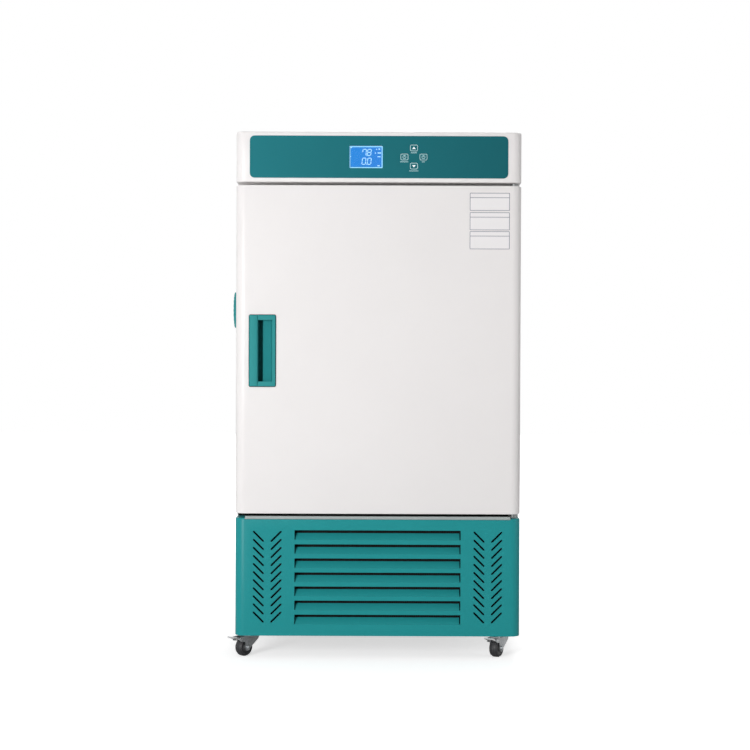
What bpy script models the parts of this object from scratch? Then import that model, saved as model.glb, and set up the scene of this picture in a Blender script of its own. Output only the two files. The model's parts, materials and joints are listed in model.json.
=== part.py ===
"""A floor-standing biochemical oxygen demand (BOD) incubator on four castors.

The front faces -Y, +X is the viewer's right and +Z is up. Every size is in metres. Shapes are written
in the cabinet's frame, whose origin is on the floor below the middle of the door's front face, and the
cabinet empty carries that frame to the middle of the part's footprint.
"""

import math

import bmesh
import bpy
from mathutils import Matrix, Vector

# Cabinet and the three front pieces
CABINET_WIDTH = 0.590
CABINET_DEPTH = 0.600
FRONT_DEPTH = 0.060
BASE_CLEARANCE = 0.048
BASE_HEIGHT = 0.243
SILL_GAP = 0.0093
DOOR_HEIGHT = 0.678
HEAD_GAP = 0.0062
HEAD_HEIGHT = 0.1035
CORNER_RADIUS = 0.020
TOP_BEND_RADIUS = 0.006
PAN_BEND_RADIUS = 0.0024
SHEET = 0.0015
SHELL_FLANGE = 0.018
REAR_FLANGE = 0.030
SILL_THICKNESS = 0.0020
PAN_LIP = 0.014
REAR_VENT_ROWS = 7
REAR_VENT_PITCH = 0.025
REAR_VENT_LENGTH = 0.150
REAR_VENT_WIDTH = 0.007
REAR_VENT_COLUMNS = (-0.055, 0.125)

# Chamber
SIDE_WALL = 0.070
BACK_WALL = 0.070
DOOR_LAND = 0.050
LINER_SHEET = 0.0010
LINER_RADIUS = 0.008
DRIP_GROOVE_SETBACK = 0.018
DRIP_GROOVE_WIDTH = 0.004
DRIP_GROOVE_DEPTH = 0.0005
DUCT_DEPTH = 0.055
BAFFLE_END_GAP = 0.014
BAFFLE_SHEET = 0.0012
BAFFLE_SLOT_ROWS = 2
BAFFLE_SLOT_EDGE = 0.022
BAFFLE_SLOT_PITCH = 0.016
BAFFLE_SLOT_LENGTH = 0.080
BAFFLE_SLOT_WIDTH = 0.006
BAFFLE_BEND = 0.004

# Racks and shelves
RACK_FIRST = 0.070
RACK_HEADROOM = 0.060
RACK_PITCH = 0.088
RACK_LEDGE = 0.014
RACK_SHEET = 0.0012
RACK_SETBACK = 0.030
RACK_END = 0.030
RACK_WINDOW_LENGTH = 0.060
RACK_WINDOW_HEIGHT = 0.012
RACK_WINDOW_INSET = 0.0425
SHELF_RIM = 0.0030
SHELF_RIM_SIDES = 6
SHELF_WIRE = 0.0018
SHELF_WIRE_PITCH = 0.036

# Door
GASKET_DEPTH = 0.010
GASKET_WIDTH = 0.018
GASKET_INSET = 0.015
PANEL_SHEET = 0.0012
PANEL_STEP = 0.004
PANEL_MARGIN = 0.012
PANEL_SLOPE = 0.006
PANEL_RADIUS = 0.008
HINGE_INSET = 0.013
HINGE_DEPTH = 0.030
HINGE_PLATE = 0.0030
HINGE_PLATE_HALF = 0.0075
HINGE_PIN = 0.0040
HINGE_PIN_LENGTH = 0.018
HINGE_LEG = 0.030
HANDLE_WIDTH = 0.054
HANDLE_HEIGHT = 0.147
HANDLE_DROP = 0.0026
HANDLE_INSET = 0.029
HANDLE_PROUD = 0.0025
HANDLE_DEPTH = 0.034
GRIP_WIDTH = 0.0180
GRIP_THICKNESS = 0.0090
GRIP_PROUD = 0.0028
HANDLE_WALL = 0.0020
HANDLE_END = 0.0100
HANDLE_RIM = 0.0065
HANDLE_UNDERCUT = 0.0045
HANDLE_BOWL_INSET = 0.0015

# Inner glass door
GLASS_THICKNESS = 0.005
GLASS_SETBACK = 0.004
GLASS_CLEARANCE = 0.004
GLASS_PIVOT_INSET = 0.010
GLASS_PIN = 0.0025
GLASS_CORNER = 0.006
GLASS_CLIP_HEIGHT = 0.0140
GLASS_KNOB_RADIUS = 0.0100

# Control head
OVERLAY_WIDTH = 0.532
OVERLAY_HEIGHT = 0.0868
OVERLAY_RADIUS = 0.010
OVERLAY_SHEET = 0.0008
HEAD_SHEET = 0.0020
DISPLAY_WIDTH = 0.0692
DISPLAY_HEIGHT = 0.0460
DISPLAY_CENTRE_X = -0.0268
KEY_WIDTH = 0.0172
KEY_HEIGHT = 0.0140
KEY_RADIUS = 0.0035
KEY_PAD_X = 0.0718
KEY_SPREAD_X = 0.0196
KEY_SPREAD_Z = 0.0186
KEY_TRAVEL = 0.0006
BOARD_SETBACK = 0.0118
BOARD_THICKNESS = 0.0016
BOARD_X = (-0.120, 0.150)
BOARD_HALF_HEIGHT = 0.036
BOARD_POSTS_X = (-0.085, 0.115)
BOARD_POSTS_Z = (-0.026, 0.026)
BOARD_POST_RADIUS = 0.0035

# Access port on the left side
PORT_BORE = 0.0260
PORT_WALL = 0.0025
PORT_SETBACK = 0.275
PORT_LEVEL = 3.5
PORT_PLAY = 0.0006
PORT_LIP = 0.006
PORT_SHELL_RIM = 0.0012
PLUG_RADIUS = 0.0430
PLUG_THICKNESS = 0.0222
PLUG_RIBS = 22
PLUG_RIB_DEPTH = 0.0030

# Base louvres and slanting slots
LOUVRE_COUNT = 7
LOUVRE_WIDTH = 0.343
LOUVRE_PITCH = 0.0291
LOUVRE_HEIGHT = 0.0198
LOUVRE_TILT = math.radians(41)
LOUVRE_TOP = 0.0245
LOUVRE_SIDE_GAP = 0.0020
SLOT_ROWS = 11
SLOT_PITCH = 0.0167
SLOT_LENGTH = 0.0320
SLOT_WIDTH = 0.0038
SLOT_TOP = 0.0262
SLOT_COLUMNS = (0.2095, 0.2460)

# Castors
CASTOR_INSET_X = 0.033
CASTOR_INSET_FRONT = 0.055
CASTOR_INSET_REAR = 0.058
CASTOR_TRAIL = 0.026
WHEEL_RADIUS = 0.0190
WHEEL_WIDTH = 0.0175
WHEEL_BORE = 0.0031
AXLE_RADIUS = 0.0028
FORK_SHEET = 0.0020
FORK_PLAY = 0.0012
KINGPIN_RADIUS = 0.0040
CASTOR_PLATE = 0.0022
CASTOR_PLATE_HALF = 0.022
PEDAL_REACH = 0.023
PEDAL_AHEAD = 0.017
PEDAL_PIN = 0.0020
WHEEL_CLEARANCE = 0.0020
FORK_RACE_RADIUS = 0.016
FORK_BOSS = 0.0070
AXLE_HEAD_RADIUS = 0.0048
AXLE_HEAD = 0.0018

# Duct, fan, heater, evaporator and temperature probe
FAN_DROP = 0.150
FAN_FRAME = 0.060
FAN_BORE = 0.055
FAN_DEPTH = 0.022
FAN_HUB = 0.021
PROBE_X = 0.105
PROBE_DROP = 0.085
PROBE_RADIUS = 0.003
PROBE_REACH = 0.035
EVAPORATOR_HALF = 0.150
EVAPORATOR_HEIGHT = 0.150
EVAPORATOR_RISE = 0.045
EVAPORATOR_FINS = 21
EVAPORATOR_FIN = 0.004
HEATER_HALF = 0.140
HEATER_RISE = 0.235
HEATER_RADIUS = 0.004

# Refrigeration set and drain below the chamber
COMPRESSOR_INSET = 0.145
COMPRESSOR_SETBACK = 0.170
COMPRESSOR_RADIUS = 0.072
COMPRESSOR_HEIGHT = 0.152
COMPRESSOR_FOOT = 0.013
COMPRESSOR_PLATE_HALF = (0.095, 0.062)
COMPRESSOR_PLATE = 0.0030
CONDENSER_FRONT = 0.100
CONDENSER_DEPTH = 0.030
CONDENSER_INSET = 0.050
CONDENSER_WIDTH = 0.250
CONDENSER_TOP = 0.262
CONDENSER_FINS = 22
CONDENSER_FIN = 0.003
CONDENSER_FAN_HALF = 0.095
CONDENSER_FAN_BORE = 0.086
CONDENSER_FAN_HUB = 0.026
CONDENSER_FAN_DEPTH = 0.034
DRAIN_X = 0.090
DRAIN_SETBACK = 0.022
DRAIN_RADIUS = 0.0065
DRAIN_WALL = 0.0015
DRAIN_LIP = 0.005
TRAY_X = 0.110
TRAY_SETBACK = 0.020
TRAY_HALF = (0.090, 0.045)
TRAY_HEIGHT = 0.035
TRAY_WALL = 0.0015
PIPE_BEND = 0.012
PIPE_RISE = 0.030
PIPE_REACH = 0.050
DISCHARGE_RADIUS = 0.003
DISCHARGE_DROP = 0.040
SUCTION_RADIUS = 0.004
SUCTION_RISE = 0.055
SUCTION_REACH = 0.040
LIQUID_RADIUS = 0.0028
LIQUID_RISE = 0.040
LIQUID_RUN = 0.110
DRIER_LENGTH = 0.100
DRIER_RADIUS = 0.0095

# Mains inlet with its rocker switch
INLET_INSET = 0.090
INLET_HEIGHT = 0.130
INLET_HALF = (0.0160, 0.0290)
INLET_PROUD = 0.0023
ROCKER_UP = 0.0135
ROCKER_TILT = math.radians(8)

# Gap between pieces that touch
FIT = 0.0003

# Faces that meet at less than this angle are shaded as one round face
SMOOTH_LIMIT = math.radians(32)

# Heights and half sizes worked out from the driving sizes
HALF_WIDTH = CABINET_WIDTH / 2
BASE_TOP = BASE_CLEARANCE + BASE_HEIGHT
DOOR_BOTTOM = BASE_TOP + SILL_GAP
DOOR_TOP = DOOR_BOTTOM + DOOR_HEIGHT
HEAD_BOTTOM = DOOR_TOP + HEAD_GAP
CABINET_TOP = HEAD_BOTTOM + HEAD_HEIGHT
DOOR_MIDDLE = (DOOR_BOTTOM + DOOR_TOP) / 2
DOOR_DEPTH = FRONT_DEPTH - GASKET_DEPTH
CHAMBER_HALF = HALF_WIDTH - SIDE_WALL
CHAMBER_FLOOR = DOOR_BOTTOM + DOOR_LAND
CHAMBER_CEILING = DOOR_TOP - DOOR_LAND
CHAMBER_BACK = CABINET_DEPTH - BACK_WALL
BAFFLE_FRONT = CHAMBER_BACK - DUCT_DEPTH
HINGE_X = HALF_WIDTH - HINGE_INSET
HANDLE_LEFT = -HALF_WIDTH + HANDLE_INSET
HANDLE_BOTTOM = DOOR_MIDDLE - HANDLE_DROP - HANDLE_HEIGHT / 2
HANDLE_TOP = HANDLE_BOTTOM + HANDLE_HEIGHT
GLASS_FRONT = FRONT_DEPTH + GLASS_SETBACK
GLASS_PIVOT_X = CHAMBER_HALF - GLASS_PIVOT_INSET
GLASS_PIVOT_Y = GLASS_FRONT + GLASS_THICKNESS / 2
HEAD_MIDDLE = (HEAD_BOTTOM + CABINET_TOP) / 2
RACK_SPAN = CHAMBER_CEILING - CHAMBER_FLOOR - RACK_FIRST - RACK_HEADROOM
RACK_LEVELS = int(RACK_SPAN / RACK_PITCH) + 1
SHELF_LEVELS = (1, RACK_LEVELS - 2)
PORT_HEIGHT = CHAMBER_FLOOR + RACK_FIRST + PORT_LEVEL * RACK_PITCH
LEDGE_TOP = BASE_TOP - SILL_THICKNESS - FIT
PAN_FLOOR = BASE_CLEARANCE + SHEET
PAN_HALF = HALF_WIDTH - SHEET - FIT
PLUG_REACH = 2 * FIT + PORT_WALL + PLUG_THICKNESS
FAN_MIDDLE = CHAMBER_CEILING - FAN_DROP
PROBE_PLACE = (PROBE_X, FAN_MIDDLE - PROBE_DROP)
DRAIN_PLACE = (DRAIN_X, CHAMBER_BACK - DRAIN_SETBACK)
RACK_FRONT = FRONT_DEPTH + RACK_SETBACK
COMPRESSOR_PLACE = (-HALF_WIDTH + COMPRESSOR_INSET, CABINET_DEPTH - COMPRESSOR_SETBACK)
CONDENSER_RIGHT = HALF_WIDTH - CONDENSER_INSET
CONDENSER_LEFT = CONDENSER_RIGHT - CONDENSER_WIDTH
INLET_PLACE = (-HALF_WIDTH + INLET_INSET, INLET_HEIGHT)
FORK_CROWN = 2 * WHEEL_RADIUS + WHEEL_CLEARANCE
FORK_TOP = BASE_CLEARANCE - CASTOR_PLATE - FIT
FORK_INNER = WHEEL_WIDTH / 2 + FORK_PLAY
PEDAL_PIVOT = (CASTOR_TRAIL + PEDAL_AHEAD, 2 * WHEEL_RADIUS - 0.0005)
KEY_CENTRES = {
    "up_key": (KEY_PAD_X, HEAD_MIDDLE + KEY_SPREAD_Z),
    "left_key": (KEY_PAD_X - KEY_SPREAD_X, HEAD_MIDDLE),
    "right_key": (KEY_PAD_X + KEY_SPREAD_X, HEAD_MIDDLE),
    "down_key": (KEY_PAD_X, HEAD_MIDDLE - KEY_SPREAD_Z),
}

# The middle of the footprint, seen from the cabinet's own origin
FOOTPRINT_X = -PLUG_REACH / 2
FOOTPRINT_Y = (CABINET_DEPTH + INLET_PROUD - HANDLE_PROUD) / 2

# Paint, metal and plastic colours
WHITE = (0.86, 0.84, 0.82)
TEAL = (0.03, 0.30, 0.31)
DARK_TEAL = (0.02, 0.17, 0.20)
STEEL = (0.62, 0.62, 0.61)
STAINLESS = (0.68, 0.68, 0.67)
LIGHT_GREY = (0.60, 0.62, 0.62)
MID_GREY = (0.30, 0.31, 0.32)
BLACK = (0.02, 0.02, 0.02)
COPPER = (0.72, 0.36, 0.22)
FOAM = (0.78, 0.70, 0.48)
BLUE = (0.07, 0.35, 0.85)

# A quarter bend as shares of its radius: how far it has turned in, and how far it has risen
BEND_STEPS = ((0.0, 0.0), (0.134, 0.5), (0.5, 0.866), (1.0, 1.0))

AXES = {"X": Vector((1, 0, 0)), "Y": Vector((0, 1, 0)), "Z": Vector((0, 0, 1))}


def clear_scene():
    """Removes what is in the scene."""
    for obj in list(bpy.data.objects):
        bpy.data.objects.remove(obj)


def empty(name, parent=None, place=(0, 0, 0), turn=0.0):
    """Adds an empty that carries other objects."""
    holder = bpy.data.objects.new(name, None)
    holder.empty_display_size = 0.05
    holder.parent = parent
    holder.location = place
    holder.rotation_euler.z = turn
    bpy.context.collection.objects.link(holder)
    return holder


def at_pivot(obj, pivot, place):
    """Hangs an object that is written in the cabinet's frame on an empty that stands at place."""
    obj.parent = pivot
    obj.matrix_parent_inverse = Matrix.Translation(-Vector(place))


def rounding():
    """The node group that shades a mesh smooth and keeps edges above the limit sharp."""
    group = bpy.data.node_groups.get("Round faces")
    if group:
        return group
    group = bpy.data.node_groups.new("Round faces", "GeometryNodeTree")
    group.interface.new_socket("Mesh", in_out="INPUT", socket_type="NodeSocketGeometry")
    group.interface.new_socket("Mesh", in_out="OUTPUT", socket_type="NodeSocketGeometry")
    start = group.nodes.new("NodeGroupInput")
    end = group.nodes.new("NodeGroupOutput")
    faces = group.nodes.new("GeometryNodeSetShadeSmooth")
    edges = group.nodes.new("GeometryNodeSetShadeSmooth")
    edges.domain = "EDGE"
    angle = group.nodes.new("GeometryNodeInputMeshEdgeAngle")
    below = group.nodes.new("FunctionNodeCompare")
    below.operation = "LESS_THAN"
    below.inputs["B"].default_value = SMOOTH_LIMIT
    group.links.new(start.outputs[0], faces.inputs["Geometry"])
    group.links.new(faces.outputs[0], edges.inputs["Geometry"])
    group.links.new(angle.outputs["Unsigned Angle"], below.inputs["A"])
    group.links.new(below.outputs["Result"], edges.inputs["Shade Smooth"])
    group.links.new(edges.outputs[0], end.inputs[0])
    return group


def finish(obj, colour, roughness=0.4, metallic=0.0, alpha=1.0):
    """Gives the object a material of its own and shades its round faces smooth."""
    if obj.type == "MESH":
        obj.modifiers.new("Round faces", "NODES").node_group = rounding()
    surface = bpy.data.materials.new(obj.name)
    surface.use_nodes = True
    shader = surface.node_tree.nodes["Principled BSDF"]
    shader.inputs["Base Color"].default_value = (*colour, 1.0)
    shader.inputs["Roughness"].default_value = roughness
    shader.inputs["Metallic"].default_value = metallic
    shader.inputs["Alpha"].default_value = alpha
    obj.data.materials.clear()
    obj.data.materials.append(surface)
    return obj


def linked(name, data, parent):
    """Links an object that holds the given mesh or curve."""
    obj = bpy.data.objects.new(name, data)
    obj.parent = parent
    bpy.context.collection.objects.link(obj)
    return obj


def from_bmesh(name, shape, parent):
    """Turns a bmesh, with its faces made to point out, into an object."""
    bmesh.ops.recalc_face_normals(shape, faces=shape.faces)
    mesh = bpy.data.meshes.new(name)
    shape.to_mesh(mesh)
    shape.free()
    return linked(name, mesh, parent)


def on_axis(axis, u, v, along):
    """A point of an outline: XY for axis Z, XZ for axis Y and YZ for axis X."""
    if axis == "Z":
        return Vector((u, v, along))
    if axis == "Y":
        return Vector((u, along, v))
    return Vector((along, u, v))


def box_outline(left, right, low, high, radius=0.0, steps=3, rounded=(1, 1, 1, 1)):
    """A rectangle whose chosen corners, anticlockwise from the low left one, are round."""
    corners = ((left, low, 1, 1), (right, low, -1, 1), (right, high, -1, -1), (left, high, 1, -1))
    points = []
    for number, (u, v, in_u, in_v) in enumerate(corners):
        if not (radius and rounded[number]):
            points.append((u, v))
            continue
        for step in range(steps + 1):
            angle = math.radians(180 + 90 * number + 90 * step / steps)
            across = u + radius * (in_u + math.cos(angle))
            up = v + radius * (in_v + math.sin(angle))
            points.append((across, up))
    return points


def circle_outline(centre_u, centre_v, radius, sides):
    """A circle as a regular outline."""
    turns = [2 * math.pi * step / sides for step in range(sides)]
    return [(centre_u + radius * math.cos(t), centre_v + radius * math.sin(t)) for t in turns]


def slot_outline(centre_u, centre_v, length, width, angle, steps=4):
    """A slot with round ends, turned by the angle."""
    reach = length / 2 - width / 2
    along = Vector((math.cos(angle), math.sin(angle)))
    points = []
    for end in (1, -1):
        for step in range(steps + 1):
            turn = angle + math.radians(-90 + 180 * step / steps) + (math.pi if end < 0 else 0)
            tip = end * reach * along + width / 2 * Vector((math.cos(turn), math.sin(turn)))
            points.append((centre_u + tip.x, centre_v + tip.y))
    return points


def add_prism(shape, outline, axis, low, high):
    """Adds a closed extrusion of an outline to a bmesh."""
    base = [shape.verts.new(on_axis(axis, u, v, low)) for u, v in outline]
    face = shape.faces.new(base)
    grown = bmesh.ops.extrude_face_region(shape, geom=[face])["geom"]
    moved = [item for item in grown if isinstance(item, bmesh.types.BMVert)]
    bmesh.ops.translate(shape, verts=moved, vec=AXES[axis] * (high - low))


def prism(name, outline, axis, low, high, parent):
    """A closed extrusion of one outline."""
    shape = bmesh.new()
    add_prism(shape, outline, axis, low, high)
    return from_bmesh(name, shape, parent)


def prisms(name, outlines, axis, low, high, parent):
    """Several separate extrusions in one object, as a cutter for a pattern."""
    shape = bmesh.new()
    for outline in outlines:
        add_prism(shape, outline, axis, low, high)
    return from_bmesh(name, shape, parent)


def block(name, low, high, parent):
    """A rectangular block between two corners."""
    outline = box_outline(low[0], high[0], low[1], high[1])
    return prism(name, outline, "Z", low[2], high[2], parent)


def loft(name, rings, parent, cyclic=False):
    """A skin through rings of equally many points, with capped ends or, if cyclic, joined ends."""
    shape = bmesh.new()
    rows = [[shape.verts.new(point) for point in ring] for ring in rings]
    pairs = list(zip(rows, rows[1:]))
    if cyclic:
        pairs.append((rows[-1], rows[0]))
    else:
        shape.faces.new(rows[0])
        shape.faces.new(rows[-1])
    for first, second in pairs:
        for number, corner in enumerate(first):
            follower = (number + 1) % len(first)
            shape.faces.new((corner, first[follower], second[follower], second[number]))
    return from_bmesh(name, shape, parent)


def flat_ring(outline, axis, along):
    """An outline as points in space."""
    return [on_axis(axis, u, v, along) for u, v in outline]


def turned(name, profile, parent, steps=32, closed=False, axis="Z", place=(0, 0, 0)):
    """A body of revolution: profile points are (radius, height), down the outer side."""
    shape = bmesh.new()
    points = [shape.verts.new((radius, 0, height)) for radius, height in profile]
    for first, second in zip(points, points[1:]):
        shape.edges.new((first, second))
    if closed:
        shape.edges.new((points[-1], points[0]))
    mesh = bpy.data.meshes.new(name)
    shape.to_mesh(mesh)
    shape.free()
    obj = linked(name, mesh, parent)
    obj.location = place
    obj.rotation_euler = {"X": (0, math.pi / 2, 0), "Y": (-math.pi / 2, 0, 0), "Z": (0, 0, 0)}[axis]
    screw = obj.modifiers.new("Turn", "SCREW")
    screw.steps = steps
    screw.render_steps = steps
    screw.use_merge_vertices = True
    screw.merge_threshold = 0.00001
    return obj


def tube(name, points, radius, parent, sides=3):
    """A round rod or pipe along a path, as a curve with a bevel and closed ends."""
    curve = bpy.data.curves.new(name, "CURVE")
    curve.dimensions = "3D"
    curve.bevel_depth = radius
    curve.bevel_resolution = sides
    curve.use_fill_caps = True
    spline = curve.splines.new("POLY")
    spline.points.add(len(points) - 1)
    for point, place in zip(spline.points, points):
        point.co = (*place, 1.0)
    return linked(name, curve, parent)


def rounded_path(corners, radius, steps=3):
    """A path through the corners, with an arc of the given radius at each inner corner."""
    corners = [Vector(corner) for corner in corners]
    path = [corners[0]]
    for before, corner, after in zip(corners, corners[1:], corners[2:]):
        inward = (before - corner).normalized()
        outward = (after - corner).normalized()
        half = inward.angle(outward) / 2
        reach = radius / math.tan(half)
        centre = corner + (inward + outward).normalized() * radius / math.sin(half)
        start = (corner + inward * reach - centre).normalized()
        end = (corner + outward * reach - centre).normalized()
        for step in range(steps + 1):
            path.append(centre + radius * start.slerp(end, step / steps))
    path.append(corners[-1])
    return path


def combine(target, tool, operation):
    """Adds a Boolean of the tool to the target and makes the tool a guide only."""
    modifier = target.modifiers.new(operation.title(), "BOOLEAN")
    modifier.operation = operation
    modifier.object = tool
    tool.hide_render = True
    tool.display_type = "WIRE"


def cut(target, *tools):
    """Takes each tool away from the target."""
    for tool in tools:
        combine(target, tool, "DIFFERENCE")


def unite(target, *tools):
    """Joins each tool to the target."""
    for tool in tools:
        combine(target, tool, "UNION")


def settled(obj):
    """The mesh of an object with its modifiers worked out, so that copies can share it."""
    graph = bpy.context.evaluated_depsgraph_get()
    graph.update()
    mesh = bpy.data.meshes.new_from_object(obj.evaluated_get(graph))
    mesh.name = obj.name + "_shared"
    shape = bmesh.new()
    shape.from_mesh(mesh)
    bmesh.ops.remove_doubles(shape, verts=shape.verts, dist=0.000001)
    shape.to_mesh(mesh)
    shape.free()
    return mesh


def soften(obj, width, segments=2):
    """Rounds the object's sharp edges."""
    bevel = obj.modifiers.new("Soften", "BEVEL")
    bevel.width = width
    bevel.segments = segments
    bevel.limit_method = "ANGLE"
    bevel.angle_limit = math.radians(40)


def front_plan(inset, back):
    """The plan of a front piece: flat front, two round front corners and straight sides."""
    rounded = (1, 1, 0, 0)
    side = HALF_WIDTH - inset
    return box_outline(-side, side, inset, back, CORNER_RADIUS - inset, 6, rounded)


def front_pan(name, low, high, back, sheet, open_bottom, parent):
    """A folded pan that is open at its back, with round front corners and rolled edges."""
    bend = PAN_BEND_RADIUS
    top = [(high - bend * (1 - rise), bend * drop) for drop, rise in BEND_STEPS]
    if open_bottom:
        levels = [(low, 0.0), *top]
    else:
        levels = [(low + bend * (1 - rise), bend * drop) for drop, rise in BEND_STEPS][::-1] + top
    rings = [flat_ring(front_plan(inset, back), "Z", level) for level, inset in levels]
    pan = loft(name, rings, parent)
    inner_low = low - sheet if open_bottom else low + sheet
    inner = front_plan(sheet, back + sheet)
    cut(pan, prism(name + "_inside", inner, "Z", inner_low, high - sheet, parent))
    return pan


def build_cabinet_shell(parent):
    """The folded wrap: top, sides and back, with a front flange and an open machine space."""
    outer = box_outline(
        -HALF_WIDTH, HALF_WIDTH, BASE_CLEARANCE, CABINET_TOP, TOP_BEND_RADIUS, 4, (0, 0, 1, 1)
    )
    shell = prism("cabinet_shell", outer, "Y", FRONT_DEPTH, CABINET_DEPTH, parent)
    below = BASE_CLEARANCE - 0.01
    side = HALF_WIDTH - SHEET
    radius = TOP_BEND_RADIUS - SHEET
    inner = box_outline(-side, side, below, CABINET_TOP - SHEET, radius, 4, (0, 0, 1, 1))
    hollow = prism("shell_hollow", inner, "Y", FRONT_DEPTH + SHEET, CABINET_DEPTH - SHEET, parent)
    mouth_half = HALF_WIDTH - SHELL_FLANGE
    mouth = block(
        "shell_mouth",
        (-mouth_half, FRONT_DEPTH - 0.01, below),
        (mouth_half, FRONT_DEPTH + 0.01, CABINET_TOP - SHELL_FLANGE),
        parent,
    )
    rear_half = HALF_WIDTH - REAR_FLANGE
    rear = block(
        "shell_rear",
        (-rear_half, CABINET_DEPTH - 0.01, below),
        (rear_half, CABINET_DEPTH + 0.01, BASE_TOP - REAR_FLANGE / 2),
        parent,
    )
    relief = block(
        "shell_pan_relief",
        (-side, FRONT_DEPTH - 0.01, below),
        (side, FRONT_DEPTH + 0.01, PAN_FLOOR + PAN_LIP + FIT),
        parent,
    )
    cut(shell, hollow, mouth, rear, relief, port_drill("shell_port", parent))
    return finish(shell, WHITE, 0.35)


def port_drill(name, parent):
    """The round hole that takes the port sleeve through the left wall."""
    radius = PORT_BORE + PORT_WALL + FIT
    outline = circle_outline(PORT_SETBACK, PORT_HEIGHT, radius, 20)
    return prism(name, outline, "X", -HALF_WIDTH - 0.01, -CHAMBER_HALF + 0.006, parent)


def drain_drill(name, place, radius, parent):
    """The round hole for the drain tube through the chamber's floor."""
    outline = circle_outline(place[0], place[1], radius, 12)
    return prism(name, outline, "Z", BASE_TOP - 0.01, CHAMBER_FLOOR + 0.004, parent)


def build_insulation(parent):
    """The foam block round the chamber, from the machine space up to the head space."""
    side = HALF_WIDTH - SHEET - FIT
    front = FRONT_DEPTH + SHEET + FIT
    back = CABINET_DEPTH - SHEET - FIT
    foam = block(
        "cabinet_insulation", (-side, front, BASE_TOP + FIT), (side, back, HEAD_BOTTOM), parent
    )
    reach = LINER_SHEET + FIT
    pocket = box_outline(
        -CHAMBER_HALF - reach,
        CHAMBER_HALF + reach,
        CHAMBER_FLOOR - reach,
        CHAMBER_CEILING + reach,
        LINER_RADIUS + reach,
    )
    cut(
        foam,
        prism("insulation_pocket", pocket, "Y", front - 0.01, CHAMBER_BACK + reach, parent),
        port_drill("insulation_port", parent),
        drain_drill("insulation_drain", DRAIN_PLACE, DRAIN_RADIUS + FIT, parent),
    )
    return finish(foam, FOAM, 0.9)


def build_liner(parent):
    """The stainless tub, its wide front flange and the drip groove behind the glass door."""

    def ring(grow, along):
        outline = box_outline(
            -CHAMBER_HALF - grow,
            CHAMBER_HALF + grow,
            CHAMBER_FLOOR - grow,
            CHAMBER_CEILING + grow,
            LINER_RADIUS + grow,
        )
        return flat_ring(outline, "Y", along)

    front = FRONT_DEPTH
    rings = [
        ring(0.0, CHAMBER_BACK),
        ring(0.0, front),
        ring(0.020, front),
        ring(0.020, front + LINER_SHEET),
        ring(LINER_SHEET, front + LINER_SHEET),
        ring(LINER_SHEET, CHAMBER_BACK + LINER_SHEET),
    ]
    tub = loft("chamber_liner", rings, parent)
    side = HALF_WIDTH - SHELL_FLANGE - FIT
    flange = block(
        "liner_flange",
        (-side, front, BASE_TOP + FIT),
        (side, front + SHEET, HEAD_BOTTOM - FIT),
        parent,
    )
    opening = box_outline(
        -CHAMBER_HALF - 0.010,
        CHAMBER_HALF + 0.010,
        CHAMBER_FLOOR - 0.010,
        CHAMBER_CEILING + 0.010,
        LINER_RADIUS + 0.010,
    )
    cut(flange, prism("liner_flange_mouth", opening, "Y", front - 0.01, front + 0.01, parent))
    pivot = circle_outline(GLASS_PIVOT_X, GLASS_PIVOT_Y, GLASS_PIN + FIT, 10)
    groove_y = GLASS_FRONT + DRIP_GROOVE_SETBACK
    groove = [
        (groove_y - DRIP_GROOVE_WIDTH / 2, CHAMBER_FLOOR),
        (groove_y, CHAMBER_FLOOR - DRIP_GROOVE_DEPTH),
        (groove_y + DRIP_GROOVE_WIDTH / 2, CHAMBER_FLOOR),
        (groove_y + DRIP_GROOVE_WIDTH / 2, CHAMBER_FLOOR + DRIP_GROOVE_WIDTH),
        (groove_y - DRIP_GROOVE_WIDTH / 2, CHAMBER_FLOOR + DRIP_GROOVE_WIDTH),
    ]
    groove_half = CHAMBER_HALF - LINER_RADIUS + DRIP_GROOVE_DEPTH
    unite(tub, flange)
    cut(
        tub,
        port_drill("liner_port", parent),
        drain_drill("liner_drain", DRAIN_PLACE, DRAIN_RADIUS + FIT, parent),
        prism("liner_groove", groove, "X", -groove_half, groove_half, parent),
        prism("liner_pivot_low", pivot, "Z", CHAMBER_FLOOR - 0.0012, CHAMBER_FLOOR + 0.002, parent),
        prism(
            "liner_pivot_high", pivot, "Z", CHAMBER_CEILING - 0.002, CHAMBER_CEILING + 0.0012, parent
        ),
    )
    return finish(tub, STAINLESS, 0.3, 1.0)


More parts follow.
